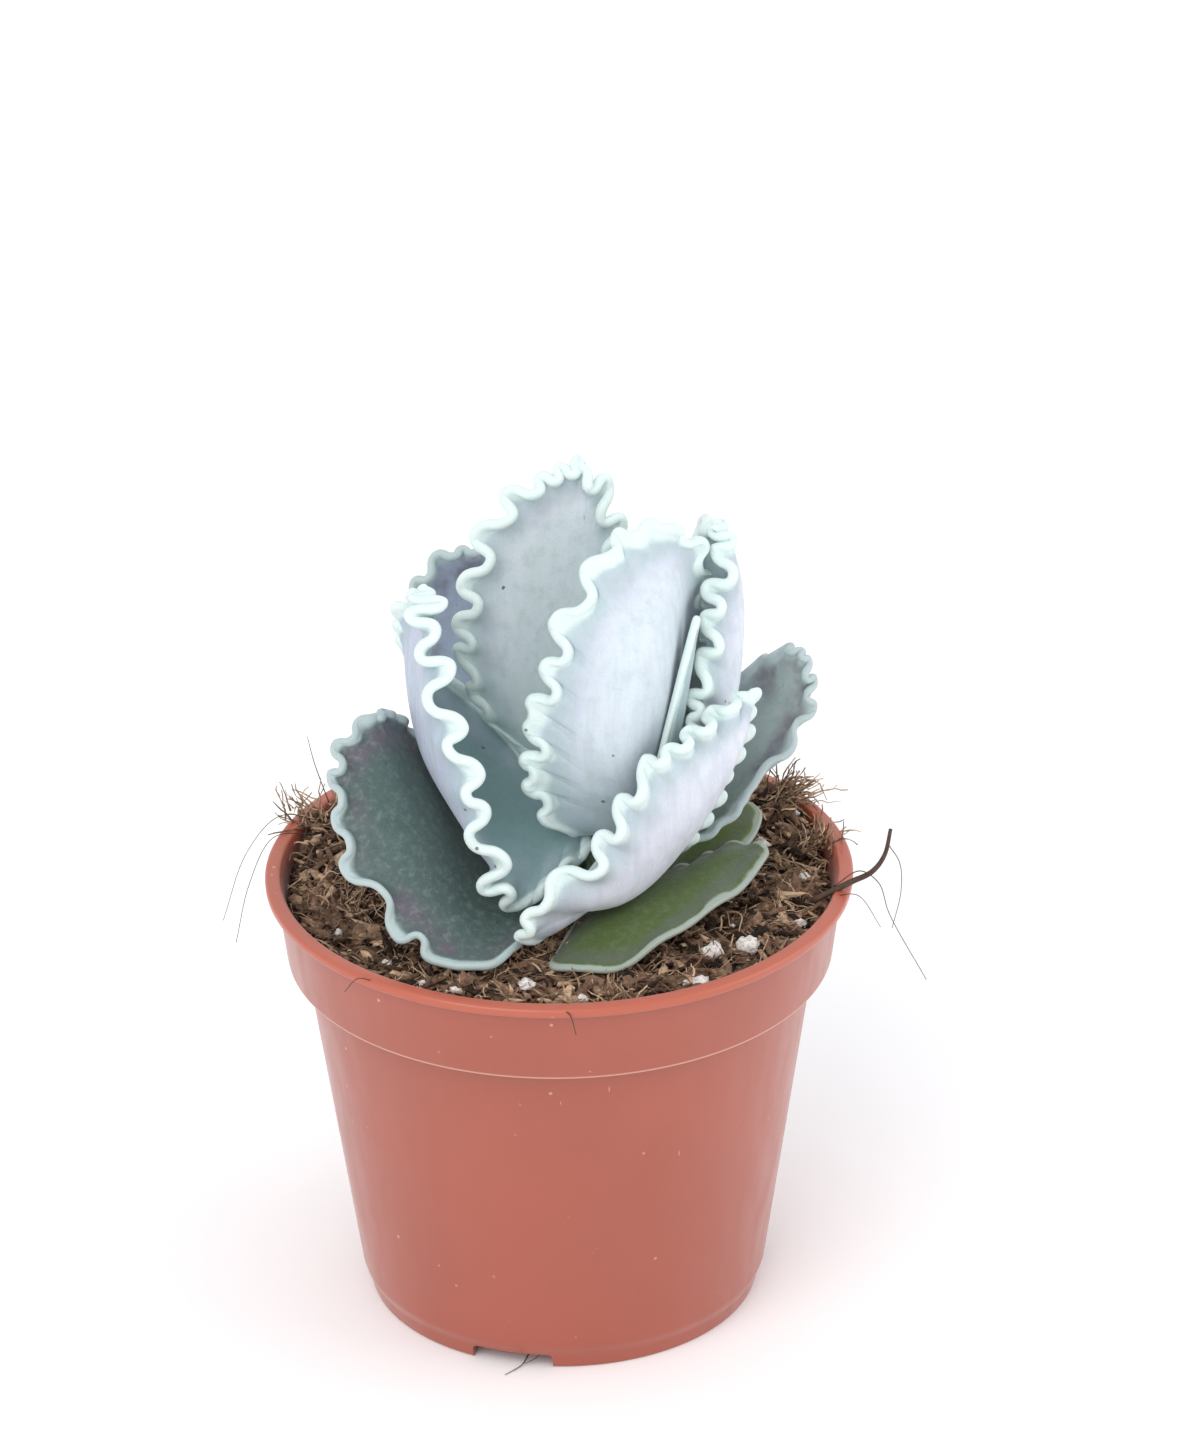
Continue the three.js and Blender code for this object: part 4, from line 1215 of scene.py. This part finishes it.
def leaf_material(leaf, look):
    """Waxy bloom over flesh: pale margin, tinted band under the frill, greener base, mottling and specks."""
    old, green = leaf.slot == "leaf_old", leaf.slot == "leaf_green"
    box = Paintbox("bloom_" + leaf.name, colour(*leaf.outer))
    shifted = box.node("ShaderNodeVectorMath", operation="ADD")
    box.feed(shifted.inputs[0], box.place())
    box.feed(shifted.inputs[1], (leaf.seed * 7.0, leaf.seed * 3.0, 0))
    place = shifted.outputs[0]
    along, depth = box.attribute("along"), box.attribute("margin_depth")
    box.coat(box.attribute("inner"), colour(*leaf.inner))
    box.coat(box.ramp(along, leaf.base_reach, 0.02), colour(*leaf.base))
    streak = box.noise(box.place((1, 1, 0.12)), 0.8)
    box.coat(box.ramp(streak, 0.35, 0.7, 0, 0.22), shade(colour(*leaf.inner), 0.8))
    mottle = box.noise(place, 0.42, detail=4, rough=0.6)
    box.coat(box.ramp(mottle, 0.45, 0.75, 0, 0.22), shade(colour(*leaf.base), 0.72))
    patch = box.noise(place, 0.2)
    if not green:
        band = box.times(box.ramp(depth, 0.8, 2.4), box.ramp(depth, 3.2, 8.5, 1, 0))
        tint, most = (look.purple, 0.75) if old else (look.lilac, 0.38)
        box.coat(box.times(band, box.ramp(patch, 0.38, 0.62, 0.1, most)), tint)
    if old or green:
        wax = box.noise(place, 0.9, detail=6, rough=0.7)
        box.coat(box.ramp(wax, 0.45, 0.75, 0, 0.12 if green else 0.26), colour(170, 184, 180))
    else:
        # Painted shade: on young leaves the blade just inside the bead is darkened, where the groove beside
        # the bead lies in shade.
        painted_groove_shade = box.times(box.ramp(depth, 0.7, 1.3), box.ramp(depth, 1.8, 6.0, 0.5, 0))
        box.coat(painted_groove_shade, look.painted_groove_shade)
    if green:
        shadow = box.times(box.ramp(depth, 0.5, 1.5), box.ramp(depth, 1.5, 5.5, 0.65, 0))
        box.coat(shadow, colour(84, 88, 80))
    margin, fade, strength = {
        "leaf_young": (look.margin, (0.5, 1.6), 1),
        "leaf_old": (colour(174, 190, 190), (0.5, 1.6), 1),
        "leaf_green": (colour(168, 178, 170), (0.2, 0.9), 0.8),
    }[leaf.slot]
    uneven_depth = box.plus(depth, box.ramp(patch, 0.3, 0.7, -0.35, 0.35))
    box.coat(box.ramp(uneven_depth, *fade, strength, 0), margin)
    box.coat(box.ramp(box.cells(place, 0.16), 0.035, 0.06, 0.8, 0), look.speck)
    fine = box.noise(place, 5.5)
    box.coat(box.ramp(fine, 0.35, 0.7, 0, 0.12), colour(120, 140, 132))
    box.bump(box.plus(fine, box.times(mottle, 3.0)), 0.05)
    roughness = (0.42, 0.55) if green else (0.5, 0.62)
    return box.finish(
        box.ramp(mottle, 0.3, 0.7, *roughness), Specular_IOR_Level=0.35, Sheen_Weight=0.12,
        Sheen_Roughness=0.5, Subsurface_Weight=0.12, Subsurface_Scale=0.003,
    )


def build_leaves():
    """All leaves, each its own piece in place of its solid."""
    look = settings("plant_leaf")
    for leaf in LEAVES:
        obj = build_blade(leaf, look)
        dress(obj, leaf_material(leaf, look), leaf.slot, "leaf_" + leaf.name)


# The stem

STEM_PLACE = (4.6, -5.2, 60.0)
STEM_LEAN = (0.17, 0.1)
STEM_SCARS = (69.5, 72.5, 75.2, 77.6)
STEM_TAPER = 0.17
STEM_TAPER_FROM = 67


def build_stem():
    """The short leaning stem, with a ring at each leaf scar and a pointed tip."""
    profile = [(0.4, 49), (2, 49.4), (3.2, 56), (3.6, 62), (3.8, 67)]
    for scar in STEM_SCARS:
        slim = STEM_TAPER * (scar - STEM_TAPER_FROM)
        profile += [(3.75 - slim, scar), (4.05 - slim, scar + 0.5)]
    profile += [(1.9, 79.4), (1.2, 80.6), (0.4, 81)]
    stem = turned_shell("stem_stub", profile, 28)
    for vertex in stem.data.vertices:
        x, y, z = (v / MM for v in vertex.co)
        rise = z - STEM_PLACE[2]
        wobble = 1 + 0.06 * noise.noise(Vector((x, y, z)) * 0.5)
        vertex.co = Vector((
            x * wobble + STEM_PLACE[0] + STEM_LEAN[0] * rise,
            y * wobble + STEM_PLACE[1] + STEM_LEAN[1] * rise,
            z,
        )) * MM
    only(stem)
    bpy.ops.object.shade_smooth()
    box = Paintbox("stem_bark", colour(92, 112, 84))
    bark = box.noise(box.place(), 0.9, detail=5, rough=0.6)
    box.coat(box.ramp(bark, 0.3, 0.7), colour(150, 166, 146))
    rings = box.ramp(box.noise(box.place((0.2, 0.2, 1)), 0.6, detail=2), 0.5, 0.62)
    box.coat(box.times(rings, 0.5), colour(118, 96, 74))
    box.bump(bark, 0.2)
    dress(stem, box.finish(0.75), "stem", "stem")


# The stage

LAMP_SIZE = 1.0
PLANT_MIDDLE = Vector((0, 0, 0.08))
CAMERA_PLACE = (-0.00322, -1.0805, 0.6413)
CAMERA_YAW = math.radians(0.5)
CAMERA_ROLL = math.radians(-0.59)


def add_area_light(name, place, power, tint):
    """A square soft light that faces the plant."""
    rest_selection()
    bpy.ops.object.light_add(type="AREA", location=place)
    lamp = named(name)
    lamp.data.size = LAMP_SIZE
    lamp.data.energy = power
    lamp.data.color = tint
    lamp.rotation_mode = "QUATERNION"
    lamp.rotation_quaternion = (PLANT_MIDDLE - Vector(place)).to_track_quat("-Z", "Y")


def build_stage():
    """Pale floor, soft studio light and the camera at the photograph's angle."""
    stage = settings("plant_stage")
    rest_selection()
    bpy.ops.mesh.primitive_plane_add(size=6, location=(0, 0, 0))
    floor = named("studio_floor")
    box = Paintbox("floor_paper", stage.floor)
    cloud = box.noise(box.place(), 0.004, detail=2)
    box.coat(box.ramp(cloud, 0.3, 0.7), shade(stage.floor, 0.985))
    floor.data.materials.append(box.finish(0.8, Specular_IOR_Level=0.1))
    world = bpy.data.worlds.new("studio")
    bpy.context.scene.world = world
    world.use_nodes = True
    sky = world.node_tree.nodes["Background"]
    sky.inputs["Color"].default_value = (0.95, 0.97, 1.0, 1)
    sky.inputs["Strength"].default_value = 0.98
    add_area_light("key_light", (-0.5, -0.95, 0.95), 8.5, (1.0, 0.99, 0.98))
    add_area_light("fill_light", (1.1, -0.15, 0.5), 4.0, (1.0, 0.98, 0.97))
    heading = Vector((math.sin(CAMERA_YAW), math.cos(CAMERA_YAW), 0))
    ahead = heading * math.cos(stage.tilt) - Vector((0, 0, math.sin(stage.tilt)))
    right = Vector((math.cos(CAMERA_YAW), -math.sin(CAMERA_YAW), 0))
    up = right.cross(ahead)
    turned_right = right * math.cos(CAMERA_ROLL) + up * math.sin(CAMERA_ROLL)
    turned_up = up * math.cos(CAMERA_ROLL) - right * math.sin(CAMERA_ROLL)
    rest_selection()
    bpy.ops.object.camera_add(location=CAMERA_PLACE)
    camera = named("camera")
    turn = Matrix((turned_right, turned_up, -ahead)).transposed()
    camera.rotation_euler = turn.to_euler()
    camera.data.sensor_width = 36
    camera.data.sensor_fit = "AUTO"
    camera.data.lens = stage.lens
    camera.data.clip_start = 0.05
    camera.data.clip_end = 20
    bpy.context.scene.camera = camera
    view = bpy.context.scene.view_settings
    view.view_transform = "Standard"
    view.look = "None"
    view.exposure = 0
    view.gamma = 1


def operator(idname, label, text, *makers):
    """An operator class that runs the given building functions."""

    def execute(self, context):
        for make in makers:
            make()
        return {"FINISHED"}

    return type("PLANT_OT_" + idname, (bpy.types.Operator,), {
        "__doc__": text, "bl_idname": "plant." + idname, "bl_label": label,
        "bl_options": {"REGISTER", "UNDO"}, "execute": execute,
    })


OPERATORS = [
    operator("stage", "Stage", "Adds the floor, the lights and the camera.", build_stage),
    operator("pot", "Pot", "Builds the nursery pot.", build_pot),
    operator("soil", "Soil", "Builds the soil bed with its crumbs, fibres and perlite.",
             build_soil_bed, build_crumbs, build_fibres, build_perlite),
    operator("roots", "Roots", "Adds the twig and the loose roots.", build_roots),
    operator("stem", "Stem", "Builds the stem.", build_stem),
    operator("leaves", "Leaves", "Builds all the leaves.", build_leaves),
]
GROUPS = {
    "plant_pot": PlantPotSettings,
    "plant_soil": PlantSoilSettings,
    "plant_leaf": PlantLeafSettings,
    "plant_stage": PlantStageSettings,
}


class PLANT_PT_panel(bpy.types.Panel):
    """Lists the plant's operators."""

    bl_label = "Plant"
    bl_idname = "PLANT_PT_panel"
    bl_space_type = "VIEW_3D"
    bl_region_type = "UI"
    bl_category = "Plant"

    def draw(self, context):
        for item in OPERATORS:
            self.layout.operator(item.bl_idname)


def register():
    for item in [*GROUPS.values(), *OPERATORS, PLANT_PT_panel]:
        bpy.utils.register_class(item)
    for name, group in GROUPS.items():
        setattr(bpy.types.Scene, name, PointerProperty(type=group))


def unregister():
    for name in GROUPS:
        delattr(bpy.types.Scene, name)
    for item in [PLANT_PT_panel, *OPERATORS[::-1], *list(GROUPS.values())[::-1]]:
        bpy.utils.unregister_class(item)


def main():
    register()
    for item in OPERATORS:
        getattr(bpy.ops.plant, item.bl_idname.split(".")[1])()
    rest_selection()


if __name__ == "__main__":
    main()
